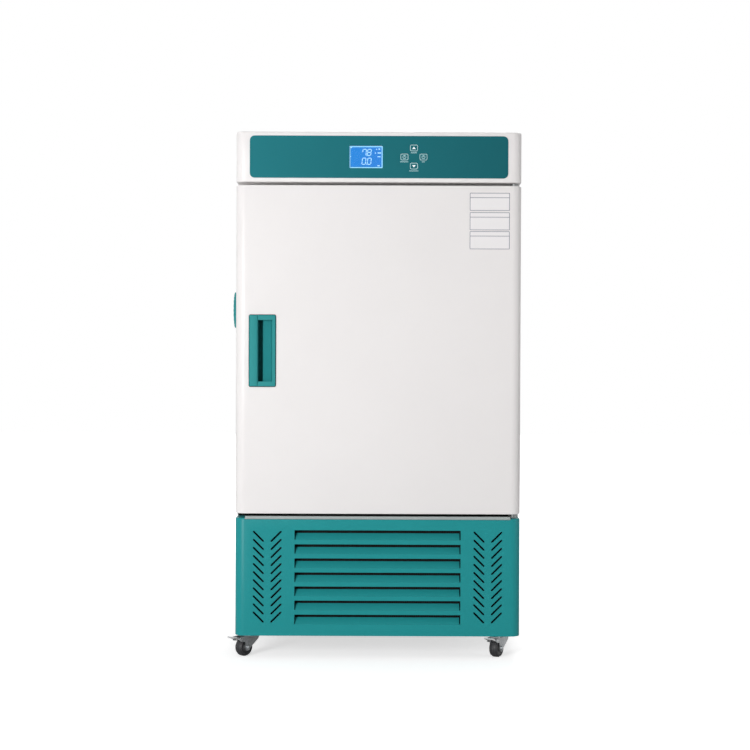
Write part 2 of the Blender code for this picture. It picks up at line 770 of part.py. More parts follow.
def build_air_baffle(parent):
    """The channel that forms the rear duct, with a fan opening and rows of air slots."""
    side = CHAMBER_HALF - FIT
    back = CHAMBER_BACK - FIT
    low = CHAMBER_FLOOR + BAFFLE_END_GAP
    high = CHAMBER_CEILING - BAFFLE_END_GAP
    sheet = BAFFLE_SHEET
    bend = BAFFLE_BEND
    folded = (1, 1, 0, 0)
    outer = box_outline(-side, side, BAFFLE_FRONT, back, bend, 3, folded)
    channel = prism("air_baffle", outer, "Z", low, high, parent)
    side -= sheet
    inner = box_outline(-side, side, BAFFLE_FRONT + sheet, back + sheet, bend - sheet, 3, folded)
    cut(channel, prism("baffle_inside", inner, "Z", low - sheet, high + sheet, parent))
    slots = []
    for row in range(BAFFLE_SLOT_ROWS):
        rise = BAFFLE_SLOT_EDGE + row * BAFFLE_SLOT_PITCH
        for column in (-1.5, -0.5, 0.5, 1.5):
            across = column * (BAFFLE_SLOT_LENGTH + BAFFLE_SLOT_PITCH)
            for height in (low + rise, high - rise):
                slots.append(slot_outline(across, height, BAFFLE_SLOT_LENGTH, BAFFLE_SLOT_WIDTH, 0.0, 2))
    slots.append(circle_outline(0.0, FAN_MIDDLE, FAN_BORE, 28))
    slots.append(circle_outline(PROBE_PLACE[0], PROBE_PLACE[1], PROBE_RADIUS + FIT, 10))
    front = BAFFLE_FRONT
    cut(channel, prisms("baffle_openings", slots, "Y", front - sheet, front + 2 * sheet, parent))
    return finish(channel, STAINLESS, 0.35, 1.0)


def fan_housing(name, half, bore, hub, depth, front, middle, foot, parent):
    """A square shroud with a round duct, three struts and the motor in its middle."""
    outline = box_outline(
        middle[0] - half, middle[0] + half, foot, middle[1] + half, 0.006, 3
    )
    shroud = prism(name, outline, "Y", front, front + depth, parent)
    duct = circle_outline(middle[0], middle[1], bore, 32)
    cut(shroud, prism(name + "_duct", duct, "Y", front - 0.01, front + depth + 0.01, parent))
    struts = []
    for arm in range(3):
        angle = math.radians(90 + 120 * arm)
        reach = (bore + hub * 0.5) / 2
        centre = (middle[0] + reach * math.cos(angle), middle[1] + reach * math.sin(angle))
        struts.append(slot_outline(*centre, bore - hub * 0.5 + 0.008, 0.007, angle, 2))
    back = front + depth
    for number, arms in enumerate(struts):
        unite(shroud, prism(f"{name}_strut_{number}", arms, "Y", back - 0.005, back - 0.001, parent))
    motor = circle_outline(middle[0], middle[1], hub, 20)
    unite(shroud, prism(name + "_motor", motor, "Y", back - depth * 0.45, back, parent))
    return shroud


def fan_rotor(name, tip, hub, depth, blades, pivot):
    """A hub with swept blades, about its own Y axis."""
    dome = [(0.0, depth / 2), (hub * 0.7, depth / 2), (hub, depth / 2 - 0.002), (hub, -depth / 2)]
    dome.append((0.0, -depth / 2))
    rotor = turned(name, dome, pivot, 20, axis="Y")
    shape = bmesh.new()
    for blade in range(blades):
        rows = []
        for part in range(4):
            share = part / 3
            radius = hub * 0.8 + (tip - hub * 0.8) * share
            sweep = 2 * math.pi * blade / blades + 0.25 * share
            half = math.radians(26 + 6 * share)
            pitch = depth * 0.40 * (1 - 0.25 * share)
            row = []
            for turn, along in ((-half, pitch), (half, -pitch)):
                for side in (0.0007, -0.0007):
                    angle = sweep + turn
                    row.append(
                        Vector((radius * math.cos(angle), along + side, radius * math.sin(angle)))
                    )
            rows.append([row[0], row[2], row[3], row[1]])
        verts = [[shape.verts.new(point) for point in row] for row in rows]
        shape.faces.new(verts[0])
        shape.faces.new(verts[-1])
        for first, second in zip(verts, verts[1:]):
            for number in range(4):
                after = (number + 1) % 4
                shape.faces.new((first[number], first[after], second[after], second[number]))
    unite(rotor, from_bmesh(name + "_blades", shape, pivot))
    return rotor


def build_circulation_fan(cabinet):
    """The small axial fan behind the baffle."""
    front = BAFFLE_FRONT + BAFFLE_SHEET + FIT
    housing = fan_housing(
        "circulation_fan_housing",
        FAN_FRAME,
        FAN_BORE,
        FAN_HUB,
        FAN_DEPTH,
        front,
        (0.0, FAN_MIDDLE),
        FAN_MIDDLE - FAN_FRAME,
        cabinet,
    )
    finish(housing, BLACK, 0.5)
    depth = FAN_DEPTH * 0.55 - FIT
    place = (0.0, front + depth / 2, FAN_MIDDLE)
    pivot = empty("circulation_fan_axis", cabinet, place)
    rotor = fan_rotor("circulation_fan", FAN_BORE - 0.003, FAN_HUB - 0.001, depth, 5, pivot)
    finish(rotor, BLACK, 0.45)


def finned_outline(left, right, front, back, fins, fin):
    """The plan of a row of fins that stand on a common back."""
    pitch = (right - left) / fins
    root = back - 1.2 * fin
    outline = [(right, back), (left, back)]
    for number in range(fins):
        edge = left + number * pitch
        outline += [(edge, front), (edge + fin, front), (edge + fin, root), (edge + pitch, root)]
    outline[-1] = (right, root)
    return outline


def build_evaporator(parent):
    """The finned evaporator in the duct, below the fan."""
    half = EVAPORATOR_HALF
    back = CHAMBER_BACK - FIT
    front = BAFFLE_FRONT + DUCT_DEPTH / 5
    outline = finned_outline(-half, half, front, back, EVAPORATOR_FINS, EVAPORATOR_FIN)
    low = CHAMBER_FLOOR + EVAPORATOR_RISE
    coil = prism("evaporator", outline, "Z", low, low + EVAPORATOR_HEIGHT, parent)
    return finish(coil, STEEL, 0.4, 1.0)


def build_heater(parent):
    """The U-shaped heating rod above the evaporator."""
    height = CHAMBER_FLOOR + HEATER_RISE
    back = CHAMBER_BACK - FIT
    forward = BAFFLE_FRONT + DUCT_DEPTH / 2
    half = HEATER_HALF
    corners = [(-half, back, height), (-half, forward, height)]
    corners += [(half, forward, height), (half, back, height)]
    rod = tube("heater", rounded_path(corners, PIPE_BEND), HEATER_RADIUS, parent, 2)
    return finish(rod, STEEL, 0.45, 1.0)


def build_probe(parent):
    """The temperature probe, which stands out of the baffle into the chamber."""
    back = CHAMBER_BACK - FIT
    length = back - BAFFLE_FRONT + PROBE_REACH
    radius = PROBE_RADIUS
    collar = 2 * radius
    profile = [(0.0, 0.0), (radius * 0.7, 0.0), (radius, -radius), (radius, collar - length)]
    profile += [(collar, collar - length), (collar, -length), (0.0, -length)]
    place = (PROBE_PLACE[0], back - length, PROBE_PLACE[1])
    probe = turned("temperature_probe", profile, parent, 12, axis="Y", place=place)
    probe.rotation_euler = (math.pi / 2, 0, 0)
    return finish(probe, STAINLESS, 0.25, 1.0)


def rack_ledge(level):
    """Height of a ledge's top face."""
    return CHAMBER_FLOOR + RACK_FIRST + level * RACK_PITCH


def build_rack(name, side, parent):
    """A side rack: an upright sheet with folded ledges, made as one section."""
    wall = CHAMBER_HALF - FIT
    inner = wall - RACK_SHEET
    tip = inner - RACK_LEDGE
    low = rack_ledge(0) - RACK_END
    high = rack_ledge(RACK_LEVELS - 1) + RACK_END
    outline = [(wall, low), (wall, high), (inner, high)]
    for level in reversed(range(RACK_LEVELS)):
        top = rack_ledge(level)
        outline += [(inner, top), (tip, top), (tip, top - RACK_SHEET), (inner, top - RACK_SHEET)]
    outline.append((inner, low))
    outline = [(side * across, up) for across, up in outline]
    rack = prism(name, outline, "Y", RACK_FRONT, BAFFLE_FRONT - FIT, parent)
    windows = []
    if side < 0:
        windows.append(circle_outline(PORT_SETBACK, PORT_HEIGHT, PORT_BORE + 1.5 * PORT_LIP, 28))
    for level in range(-1, RACK_LEVELS - 1):
        middle = max(rack_ledge(level) + RACK_PITCH / 2, low + 1.5 * RACK_WINDOW_HEIGHT)
        for across in (-1, 1):
            reach = (BAFFLE_FRONT - RACK_FRONT) / 2 - RACK_WINDOW_INSET
            centre = (RACK_FRONT + BAFFLE_FRONT) / 2 + across * reach
            windows.append(
                slot_outline(centre, middle, RACK_WINDOW_LENGTH, RACK_WINDOW_HEIGHT, 0.0, 1)
            )
    reach = sorted((side * (inner - 0.004), side * (wall + 0.004)))
    cut(rack, prisms(name + "_windows", windows, "X", *reach, parent))
    return finish(rack, STAINLESS, 0.3, 1.0)


def shelf_mesh(parent):
    """A wire shelf about its rim's middle: a bent rim, with wires that run front to back."""
    half_x = CHAMBER_HALF - FIT - RACK_SHEET - 2 * FIT - SHELF_RIM - PORT_SHELL_RIM
    depth = BAFFLE_FRONT - RACK_FRONT - 2 * FIT - 2 * SHELF_RIM
    rings = []
    for corner in range(SHELF_RIM_SIDES):
        angle = 2 * math.pi * corner / SHELF_RIM_SIDES
        grow = SHELF_RIM * math.cos(angle)
        up = SHELF_RIM * math.sin(angle)
        outline = box_outline(
            -half_x - grow, half_x + grow, -depth / 2 - grow, depth / 2 + grow, 0.012 + grow, 2
        )
        rings.append(flat_ring(outline, "Z", up))
    shelf = loft("shelf_rim", rings, parent, cyclic=True)
    wires = int((2 * half_x - 0.02) / SHELF_WIRE_PITCH)
    start = -(wires - 1) / 2 * SHELF_WIRE_PITCH
    outlines = [
        circle_outline(start + wire * SHELF_WIRE_PITCH, 0.0, SHELF_WIRE, 6) for wire in range(wires)
    ]
    unite(shelf, prisms("shelf_wires", outlines, "Y", -depth / 2, depth / 2, parent))
    mesh = settled(shelf)
    shelf.hide_render = True
    shelf.display_type = "WIRE"
    return mesh


def build_shelves(parent):
    """The wire shelves, each resting on a pair of ledges."""
    mesh = shelf_mesh(parent)
    for number, level in enumerate(SHELF_LEVELS, 1):
        shelf = linked(f"shelf_{number}", mesh.copy(), parent)
        rest = rack_ledge(level) + FIT + SHELF_RIM * math.sin(math.pi / 3)
        shelf.location = (0.0, (RACK_FRONT + BAFFLE_FRONT) / 2, rest)
        finish(shelf, STAINLESS, 0.25, 1.0)


def build_port(cabinet):
    """The sleeve through the left wall and the ribbed plug that slides out of it."""
    place = (0.0, PORT_SETBACK, PORT_HEIGHT)
    inner_end = CHAMBER_HALF - FIT - PORT_SHELL_RIM
    outer_end = HALF_WIDTH + FIT + PORT_WALL
    bore = PORT_BORE
    wall = PORT_BORE + PORT_WALL
    rim = bore + PORT_LIP
    seat = inner_end + PORT_SHELL_RIM
    flange = rim + PORT_LIP
    profile = [(bore, -inner_end), (rim, -inner_end), (rim, -seat), (wall, -seat)]
    profile += [(wall, -HALF_WIDTH - FIT), (flange, -HALF_WIDTH - FIT)]
    profile += [(flange, -outer_end), (bore, -outer_end)]
    sleeve = turned("port_sleeve", profile, cabinet, 20, closed=True, axis="X", place=place)
    finish(sleeve, LIGHT_GREY, 0.5)

    pivot = empty("port_plug_axis", cabinet, place)
    face = outer_end + FIT
    outline = []
    for rib in range(PLUG_RIBS):
        for share, drop in ((0.0, 0), (0.42, 0), (0.54, 1), (0.88, 1)):
            angle = 2 * math.pi * (rib + share) / PLUG_RIBS
            radius = PLUG_RADIUS - drop * PLUG_RIB_DEPTH
            outline.append((radius * math.cos(angle), radius * math.sin(angle)))
    smaller = [(u * 0.90, v * 0.90) for u, v in outline]
    rings = [
        flat_ring(smaller, "X", -face),
        flat_ring(outline, "X", -face - 0.003),
        flat_ring(outline, "X", -face - PLUG_THICKNESS + 0.005),
        flat_ring(smaller, "X", -face - PLUG_THICKNESS),
    ]
    plug = loft("port_plug", rings, pivot)
    stem = circle_outline(0.0, 0.0, PORT_BORE - PORT_PLAY, 20)
    stem_end = -CHAMBER_HALF - 0.006
    unite(plug, prism("plug_stem", stem, "X", -face - 0.004, stem_end, pivot))
    finish(plug, TEAL, 0.5)


def build_head(cabinet):
    """The head cover with its overlay, display, board and keys."""
    back = FRONT_DEPTH - FIT
    cover = front_pan("head_cover", HEAD_BOTTOM, CABINET_TOP, back, HEAD_SHEET, False, cabinet)
    holes = [display_outline(0.0)]
    holes += [key_outline(centre, FIT) for centre in KEY_CENTRES.values()]
    cut(cover, prisms("head_holes", holes, "Y", -0.01, 0.01, cabinet))
    posts = []
    for across in BOARD_POSTS_X:
        for up in BOARD_POSTS_Z:
            posts.append(circle_outline(across, HEAD_MIDDLE + up, BOARD_POST_RADIUS, 10))
    unite(cover, prisms("head_posts", posts, "Y", HEAD_SHEET / 2, BOARD_SETBACK - FIT, cabinet))
    notch_half = HINGE_PLATE_HALF + 0.0025 + FIT
    notch_low = (HINGE_X - notch_half, back - HINGE_PLATE - 2 * FIT, HEAD_BOTTOM - 0.01)
    notch_high = (HINGE_X + notch_half, back + 0.01, HEAD_BOTTOM + HEAD_SHEET + 0.001)
    cut(cover, block("head_notch", notch_low, notch_high, cabinet))
    finish(cover, WHITE, 0.35)

    half_x = OVERLAY_WIDTH / 2
    half_z = OVERLAY_HEIGHT / 2
    sheet = box_outline(
        -half_x, half_x, HEAD_MIDDLE - half_z, HEAD_MIDDLE + half_z, OVERLAY_RADIUS, 6
    )
    front = -FIT - OVERLAY_SHEET
    overlay = prism("control_overlay", sheet, "Y", front, -FIT, cabinet)
    cut(overlay, prisms("overlay_holes", holes, "Y", -0.01, 0.01, cabinet))
    finish(overlay, DARK_TEAL, 0.4)

    window = prism("display_window", display_outline(-FIT), "Y", front, HEAD_SHEET - FIT, cabinet)
    finish(window, BLUE, 0.1, 0.0, 0.35)
    module = prism(
        "display_module", display_outline(0.005), "Y", HEAD_SHEET + FIT, BOARD_SETBACK - FIT, cabinet
    )
    soften(module, 0.0008, 1)
    finish(module, BLUE, 0.3)
    low = HEAD_MIDDLE - BOARD_HALF_HEIGHT
    high = HEAD_MIDDLE + BOARD_HALF_HEIGHT
    board_outline = box_outline(*BOARD_X, low, high, 0.003, 2)
    board_back = BOARD_SETBACK + BOARD_THICKNESS
    board = prism("control_board", board_outline, "Y", BOARD_SETBACK, board_back, cabinet)
    finish(board, (0.02, 0.18, 0.08), 0.5)

    for name, centre in KEY_CENTRES.items():
        pivot = empty(name + "_axis", cabinet, (centre[0], 0.0, centre[1]))
        lip = HEAD_SHEET + FIT
        rings = [
            flat_ring(key_face(-0.0008), "Y", front - 0.0006),
            flat_ring(key_face(0.0), "Y", front),
            flat_ring(key_face(0.0), "Y", lip),
            flat_ring(key_face(0.0010), "Y", lip),
            flat_ring(key_face(0.0010), "Y", lip + 0.0012),
            flat_ring(key_face(-0.0040), "Y", lip + 0.0012),
            flat_ring(key_face(-0.0040), "Y", BOARD_SETBACK - KEY_TRAVEL - FIT),
        ]
        finish(loft(name, rings, pivot), DARK_TEAL, 0.4)


def display_outline(grow):
    """The display's rectangle, grown on every side."""
    half_x = DISPLAY_WIDTH / 2 + grow
    half_z = DISPLAY_HEIGHT / 2 + grow
    left = DISPLAY_CENTRE_X - half_x
    right = DISPLAY_CENTRE_X + half_x
    return box_outline(left, right, HEAD_MIDDLE - half_z, HEAD_MIDDLE + half_z, 0.002, 2)


def key_face(grow):
    """A key's outline about its own centre, grown on every side."""
    half_x = KEY_WIDTH / 2 + grow
    half_z = KEY_HEIGHT / 2 + grow
    return box_outline(-half_x, half_x, -half_z, half_z, max(KEY_RADIUS + grow, 0.0008), 2)


def key_outline(centre, grow):
    """A key's outline where it stands on the head."""
    return [(centre[0] + u, centre[1] + v) for u, v in key_face(grow)]


def louvre_flap(number, parent):
    """One lanced flap: it leans inward from the bend along its lower edge."""
    top = BASE_TOP - LOUVRE_TOP - number * LOUVRE_PITCH
    low = top - LOUVRE_HEIGHT
    lean = Vector((math.sin(LOUVRE_TILT), math.cos(LOUVRE_TILT)))
    thick = Vector((lean.y, -lean.x)) * SHEET
    foot = Vector((0.0, low - SHEET * 0.6))
    reach = LOUVRE_HEIGHT - SHEET
    points = [foot, foot + lean * reach, foot + lean * reach + thick, foot + thick]
    outline = [(point.x, point.y) for point in points]
    half = LOUVRE_WIDTH / 2 - LOUVRE_SIDE_GAP
    return prism(f"louvre_flap_{number}", outline, "X", -half, half, parent)


def build_base_front(parent):
    """The base's folded front with lanced louvres and four columns of slanting slots."""
    back = FRONT_DEPTH - FIT
    panel = front_pan("base_front", BASE_CLEARANCE, BASE_TOP, back, SHEET, True, parent)
    sill_half = HALF_WIDTH - CORNER_RADIUS
    cut(
        panel,
        block(
            "base_ledge",
            (-sill_half, -0.01, LEDGE_TOP),
            (sill_half, back + 0.01, BASE_TOP + 0.01),
            parent,
        ),
        block(
            "base_under_ledge",
            (-sill_half, SHEET, BASE_CLEARANCE),
            (sill_half, back + 0.01, LEDGE_TOP - SHEET),
            parent,
        ),
    )
    windows = []
    for number in range(LOUVRE_COUNT):
        top = BASE_TOP - LOUVRE_TOP - number * LOUVRE_PITCH
        half = LOUVRE_WIDTH / 2
        windows.append(box_outline(-half, half, top - LOUVRE_HEIGHT, top))
    for side in (-1, 1):
        for column, across in enumerate(SLOT_COLUMNS):
            lean = math.radians(45 if (column == 0) == (side < 0) else -45)
            for row in range(SLOT_ROWS):
                middle = BASE_TOP - SLOT_TOP - SLOT_LENGTH / 2 * math.sin(math.pi / 4)
                centre = (side * across, middle - row * SLOT_PITCH)
                windows.append(slot_outline(*centre, SLOT_LENGTH, SLOT_WIDTH, lean, 2))
    cut(panel, prisms("base_windows", windows, "Y", -SHEET, 2 * SHEET, parent))
    for number in range(LOUVRE_COUNT):
        unite(panel, louvre_flap(number, parent))
    return finish(panel, TEAL, 0.4)


def build_base_sill(parent):
    """The light strip that lies on the base's ledge."""
    half = HALF_WIDTH - CORNER_RADIUS - FIT
    low = (-half, FIT, LEDGE_TOP + FIT)
    sill = block("base_sill", low, (half, FRONT_DEPTH - 2 * FIT, BASE_TOP), parent)
    soften(sill, 0.0005, 1)
    return finish(sill, LIGHT_GREY, 0.5)


def castor_places():
    """Each castor's name, swivel place and the direction in which its wheel trails."""
    side = HALF_WIDTH - CASTOR_INSET_X
    front = CASTOR_INSET_FRONT
    rear = CABINET_DEPTH - CASTOR_INSET_REAR
    return (
        ("front_left", (-side, front), math.atan2(-0.78, -0.63)),
        ("front_right", (side, front), math.atan2(-0.87, -0.50)),
        ("rear_left", (-side, rear), math.radians(100)),
        ("rear_right", (side, rear), math.radians(65)),
    )


def build_base_pan(parent):
    """The tray that closes the base, with the four castor plates and their kingpins."""

    def ring(inset, height):
        left = -PAN_HALF + inset
        low = SHEET + FIT + inset
        high = CABINET_DEPTH - SHEET - FIT - inset
        radius = CORNER_RADIUS - SHEET - FIT - inset
        outline = box_outline(left, -left, low, high, radius, 6, (1, 1, 0, 0))
        return flat_ring(outline, "Z", height)

    lip = PAN_FLOOR + PAN_LIP
    rings = [ring(0.0, BASE_CLEARANCE), ring(0.0, lip), ring(SHEET, lip), ring(SHEET, PAN_FLOOR)]
    pan = loft("base_pan", rings, parent)
    plates = []
    pins = []
    for _, (across, along), _ in castor_places():
        half = CASTOR_PLATE_HALF
        plates.append(box_outline(across - half, across + half, along - half, along + half, 0.005, 2))
        pins.append(circle_outline(across, along, KINGPIN_RADIUS, 12))
    low = BASE_CLEARANCE - CASTOR_PLATE
    unite(
        pan,
        prisms("castor_plates", plates, "Z", low, BASE_CLEARANCE + SHEET / 2, parent),
        prisms("castor_kingpins", pins, "Z", FORK_CROWN - 0.0006, BASE_CLEARANCE + SHEET / 2, parent),
    )
    return finish(pan, MID_GREY, 0.5, 0.6)


def fork_mesh(parent):
    """A castor fork about its swivel axis: crown, ball race, two legs and the axle."""
    half = FORK_INNER + FORK_SHEET
    crown_outline = box_outline(-0.012, CASTOR_TRAIL - 0.002, -half, half, 0.006, 2)
    fork = prism("fork_crown", crown_outline, "Z", FORK_CROWN, FORK_CROWN + FORK_SHEET, parent)
    race = circle_outline(0.0, 0.0, FORK_RACE_RADIUS, 14)
    unite(fork, prism("fork_race", race, "Z", FORK_CROWN + FORK_SHEET / 2, FORK_TOP, parent))
    top = FORK_CROWN + FORK_SHEET - 0.0003
    boss = FORK_BOSS
    arc = [math.radians(200 + 30 * step) for step in range(6)]
    nose = PEDAL_PIVOT[0] + 0.0045
    leg = [(-0.010, top), (-0.005, FORK_CROWN - 0.007)]
    leg += [(CASTOR_TRAIL + boss * math.cos(t), WHEEL_RADIUS + boss * math.sin(t)) for t in arc]
    leg += [(CASTOR_TRAIL + boss, WHEEL_RADIUS + boss / 2), (nose - 0.013, PEDAL_PIVOT[1] - 0.006)]
    leg += [(nose - 0.002, PEDAL_PIVOT[1] - 0.0045), (nose, PEDAL_PIVOT[1] - 0.002), (nose, top)]
    for number, side in enumerate((-1, 1)):
        span = sorted((side * FORK_INNER, side * half))
        unite(fork, prism(f"fork_leg_{number}", leg, "Y", *span, parent))
        head = circle_outline(CASTOR_TRAIL, WHEEL_RADIUS, AXLE_HEAD_RADIUS, 10)
        outer = sorted((side * (half - FORK_SHEET / 4), side * (half + AXLE_HEAD)))
        unite(fork, prism(f"fork_axle_head_{number}", head, "Y", *outer, parent))
    axle = circle_outline(CASTOR_TRAIL, WHEEL_RADIUS, AXLE_RADIUS, 12)
    unite(fork, prism("fork_axle", axle, "Y", -half, half, parent))
    pin = circle_outline(0.0, 0.0, KINGPIN_RADIUS + FIT, 12)
    pivot = circle_outline(*PEDAL_PIVOT, PEDAL_PIN + FIT, 8)
    cut(
        fork,
        prism("fork_pin_hole", pin, "Z", FORK_CROWN - 0.01, FORK_TOP + 0.01, parent),
        prism("fork_pedal_hole", pivot, "Y", -half - 0.01, half + 0.01, parent),
    )
    mesh = settled(fork)
    fork.hide_render = True
    fork.display_type = "WIRE"
    return mesh


def build_pedal(name, pivot):
    """A brake pedal about its pin: hub, brake shoe and upturned tread."""
    reach = PEDAL_REACH
    hub = [math.radians(70 + 20 * step) for step in range(6)]
    outline = [(0.0030 * math.cos(t), 0.0030 * math.sin(t)) for t in hub]
    outline += [(-0.0046, -0.0028), (-0.0030, -0.0044), (0.0, -0.0030), (0.006, -0.0012)]
    outline += [(reach - 0.006, 0.0030), (reach, 0.0048), (reach, 0.0072), (reach - 0.007, 0.0056)]
    outline.append((0.006, 0.0024))
    half = FORK_INNER - FIT * 2
    pedal = prism(name, outline, "Y", -half, half, pivot)
    pin = circle_outline(0.0, 0.0, PEDAL_PIN, 8)
    end = FORK_INNER + FORK_SHEET
    unite(pedal, prism(name + "_pin", pin, "Y", -end, end, pivot))
    return finish(pedal, STEEL, 0.35, 1.0)


def build_castors(cabinet):
    """Four swivel castors; the front two carry brake pedals."""
    fork_shape = fork_mesh(cabinet)
    half = WHEEL_WIDTH / 2
    radius = WHEEL_RADIUS
    profile = [(WHEEL_BORE, half - 0.0006), (0.0065, half - 0.0006), (radius * 0.45, half - 0.0028)]
    profile += [(radius * 0.66, half), (radius * 0.88, half), (radius, half - 0.0040)]
    profile += [(across, -along) for across, along in reversed(profile)]
    for name, (across, along), turn in castor_places():
        swivel = empty(f"castor_{name}_swivel", cabinet, (across, along, 0.0), turn)
        fork = linked(f"castor_{name}_fork", fork_shape.copy(), swivel)
        finish(fork, STEEL, 0.35, 1.0)
        axle = (CASTOR_TRAIL, 0.0, radius)
        wheel = turned(
            f"castor_{name}_wheel", profile, swivel, 20, closed=True, axis="Y", place=axle
        )
        finish(wheel, MID_GREY, 0.6)
        if name.startswith("front"):
            pivot = empty(f"castor_{name}_brake_axis", swivel, (PEDAL_PIVOT[0], 0.0, PEDAL_PIVOT[1]))
            build_pedal(f"castor_{name}_brake", pivot)


def rear_opening():
    """Half width and top of the opening at the back of the machine space."""
    return HALF_WIDTH - REAR_FLANGE, BASE_TOP - REAR_FLANGE / 2


def build_rear_panel(parent):
    """The vented panel behind the machine space, with the inlet's cut-out."""
    half, top = rear_opening()
    low = PAN_FLOOR + PAN_LIP + FIT
    outline = box_outline(-half + FIT, half - FIT, low, top - FIT, 0.003, 2)
    panel = prism("rear_panel", outline, "Y", CABINET_DEPTH - SHEET, CABINET_DEPTH, parent)
    vents = []
    for row in range(REAR_VENT_ROWS):
        height = low + REAR_FLANGE + row * REAR_VENT_PITCH
        for across in REAR_VENT_COLUMNS:
            vents.append(slot_outline(across, height, REAR_VENT_LENGTH, REAR_VENT_WIDTH, 0.0, 2))
    vents.append(inlet_outline(-0.0020 + FIT))
    cut(panel, prisms("rear_vents", vents, "Y", CABINET_DEPTH - 0.01, CABINET_DEPTH + 0.01, parent))
    return finish(panel, WHITE, 0.4)


def inlet_outline(grow):
    """The inlet module's outline, grown on every side."""
    half_x = INLET_HALF[0] + grow
    half_z = INLET_HALF[1] + grow
    across, up = INLET_PLACE
    return box_outline(across - half_x, across + half_x, up - half_z, up + half_z, 0.002, 2)


def build_power_inlet(cabinet):
    """The moulded inlet with three pins below and the rocker switch's pocket above."""
    outer = CABINET_DEPTH + FIT
    proud = CABINET_DEPTH + INLET_PROUD
    flange = prism("power_inlet", inlet_outline(0.0), "Y", outer, proud, cabinet)
    body = prism("inlet_body", inlet_outline(-0.0020), "Y", outer - 0.026, outer + 0.001, cabinet)
    unite(flange, body)
    across, up = INLET_PLACE
    socket_low = up - 0.0235
    socket = box_outline(across - 0.0118, across + 0.0118, socket_low, socket_low + 0.0160, 0.003, 2)
    rocker = box_outline(across - 0.0102, across + 0.0102, up + 0.0040, up + 0.0230)
    cut(
        flange,
        prism("inlet_socket", socket, "Y", outer - 0.016, outer + 0.01, cabinet),
        prism("inlet_rocker", rocker, "Y", outer - 0.012, outer + 0.01, cabinet),
    )
    pins = []
    for offset, rise in ((-0.0070, 0.0060), (0.0, 0.0100), (0.0070, 0.0060)):
        centre = (across + offset, socket_low + rise)
        pins.append(
            box_outline(centre[0] - 0.001, centre[0] + 0.001, centre[1] - 0.002, centre[1] + 0.002)
        )
    unite(flange, prisms("inlet_pins", pins, "Y", outer - 0.0175, outer - 0.001, cabinet))
    finish(flange, BLACK, 0.45)

    place = (across, outer - 0.0035, up + ROCKER_UP)
    pivot = empty("power_switch_axis", cabinet, place)
    pivot.rotation_euler.x = -ROCKER_TILT
    reach = 0.0088
    outline = [(-0.0055, 0.0), (-0.0030, -reach), (0.0048, -reach), (0.0028, 0.0)]
    outline += [(0.0048, reach), (-0.0030, reach)]
    finish(prism("power_switch", outline, "X", -0.0098, 0.0098, pivot), BLACK, 0.4)


def build_compressor(parent):
    """The hermetic compressor: rubber feet, mounting plate and welded can."""
    across, along = COMPRESSOR_PLACE
    floor = PAN_FLOOR + FIT
    plate_low = floor + COMPRESSOR_FOOT
    half_x, half_y = COMPRESSOR_PLATE_HALF
    plate_outline = box_outline(
        across - half_x, across + half_x, along - half_y, along + half_y, 0.012, 3
    )
    plate_top = plate_low + COMPRESSOR_PLATE
    plate = prism("compressor", plate_outline, "Z", plate_low, plate_top, parent)
    feet = []
    for side_x in (-1, 1):
        for side_y in (-1, 1):
            centre = (across + side_x * (half_x - 0.014), along + side_y * (half_y - 0.014))
            feet.append(circle_outline(*centre, 0.010, 10))
    radius = COMPRESSOR_RADIUS
    rise = plate_low + COMPRESSOR_PLATE / 2
    top = COMPRESSOR_HEIGHT
    profile = [(0.0, top), (radius * 0.50, top - 0.004), (radius * 0.85, top - 0.018)]
    profile.append((radius, top - 0.044))
    profile += [(radius, 0.094), (radius * 1.05, 0.092), (radius * 1.05, 0.086), (radius, 0.084)]
    profile += [(radius, 0.026), (radius * 0.85, 0.004), (0.0, 0.0)]
    can = turned("compressor_can", profile, parent, 20, place=(across, along, rise))
    unite(plate, prisms("compressor_feet", feet, "Z", floor, plate_low + 0.001, parent), can)
    return finish(plate, BLACK, 0.4)


def build_condenser(parent):
    """The finned condenser behind the louvres, as one section."""
    floor = PAN_FLOOR + FIT
    back = CONDENSER_FRONT + CONDENSER_DEPTH
    ends = (CONDENSER_LEFT, CONDENSER_RIGHT)
    outline = finned_outline(*ends, CONDENSER_FRONT, back, CONDENSER_FINS, CONDENSER_FIN)
    coil = prism("condenser", outline, "Z", floor, CONDENSER_TOP, parent)
    return finish(coil, BLACK, 0.5, 0.5)


def build_condenser_fan(cabinet):
    """The condenser's shrouded fan."""
    front = CONDENSER_FRONT + CONDENSER_DEPTH + FIT
    half = CONDENSER_FAN_HALF
    bore = CONDENSER_FAN_BORE
    hub = CONDENSER_FAN_HUB
    depth = CONDENSER_FAN_DEPTH
    middle = (CONDENSER_LEFT + CONDENSER_WIDTH / 2, CONDENSER_TOP - half)
    housing = fan_housing(
        "condenser_fan_housing", half, bore, hub, depth, front, middle, PAN_FLOOR + FIT, cabinet
    )
    finish(housing, MID_GREY, 0.5, 0.5)
    rotor_depth = depth * 0.55 - FIT
    pivot = empty(
        "condenser_fan_axis", cabinet, (middle[0], front + rotor_depth / 2, middle[1])
    )
    rotor = fan_rotor("condenser_fan", bore - 0.004, hub - 0.001, rotor_depth, 5, pivot)
    finish(rotor, LIGHT_GREY, 0.45)


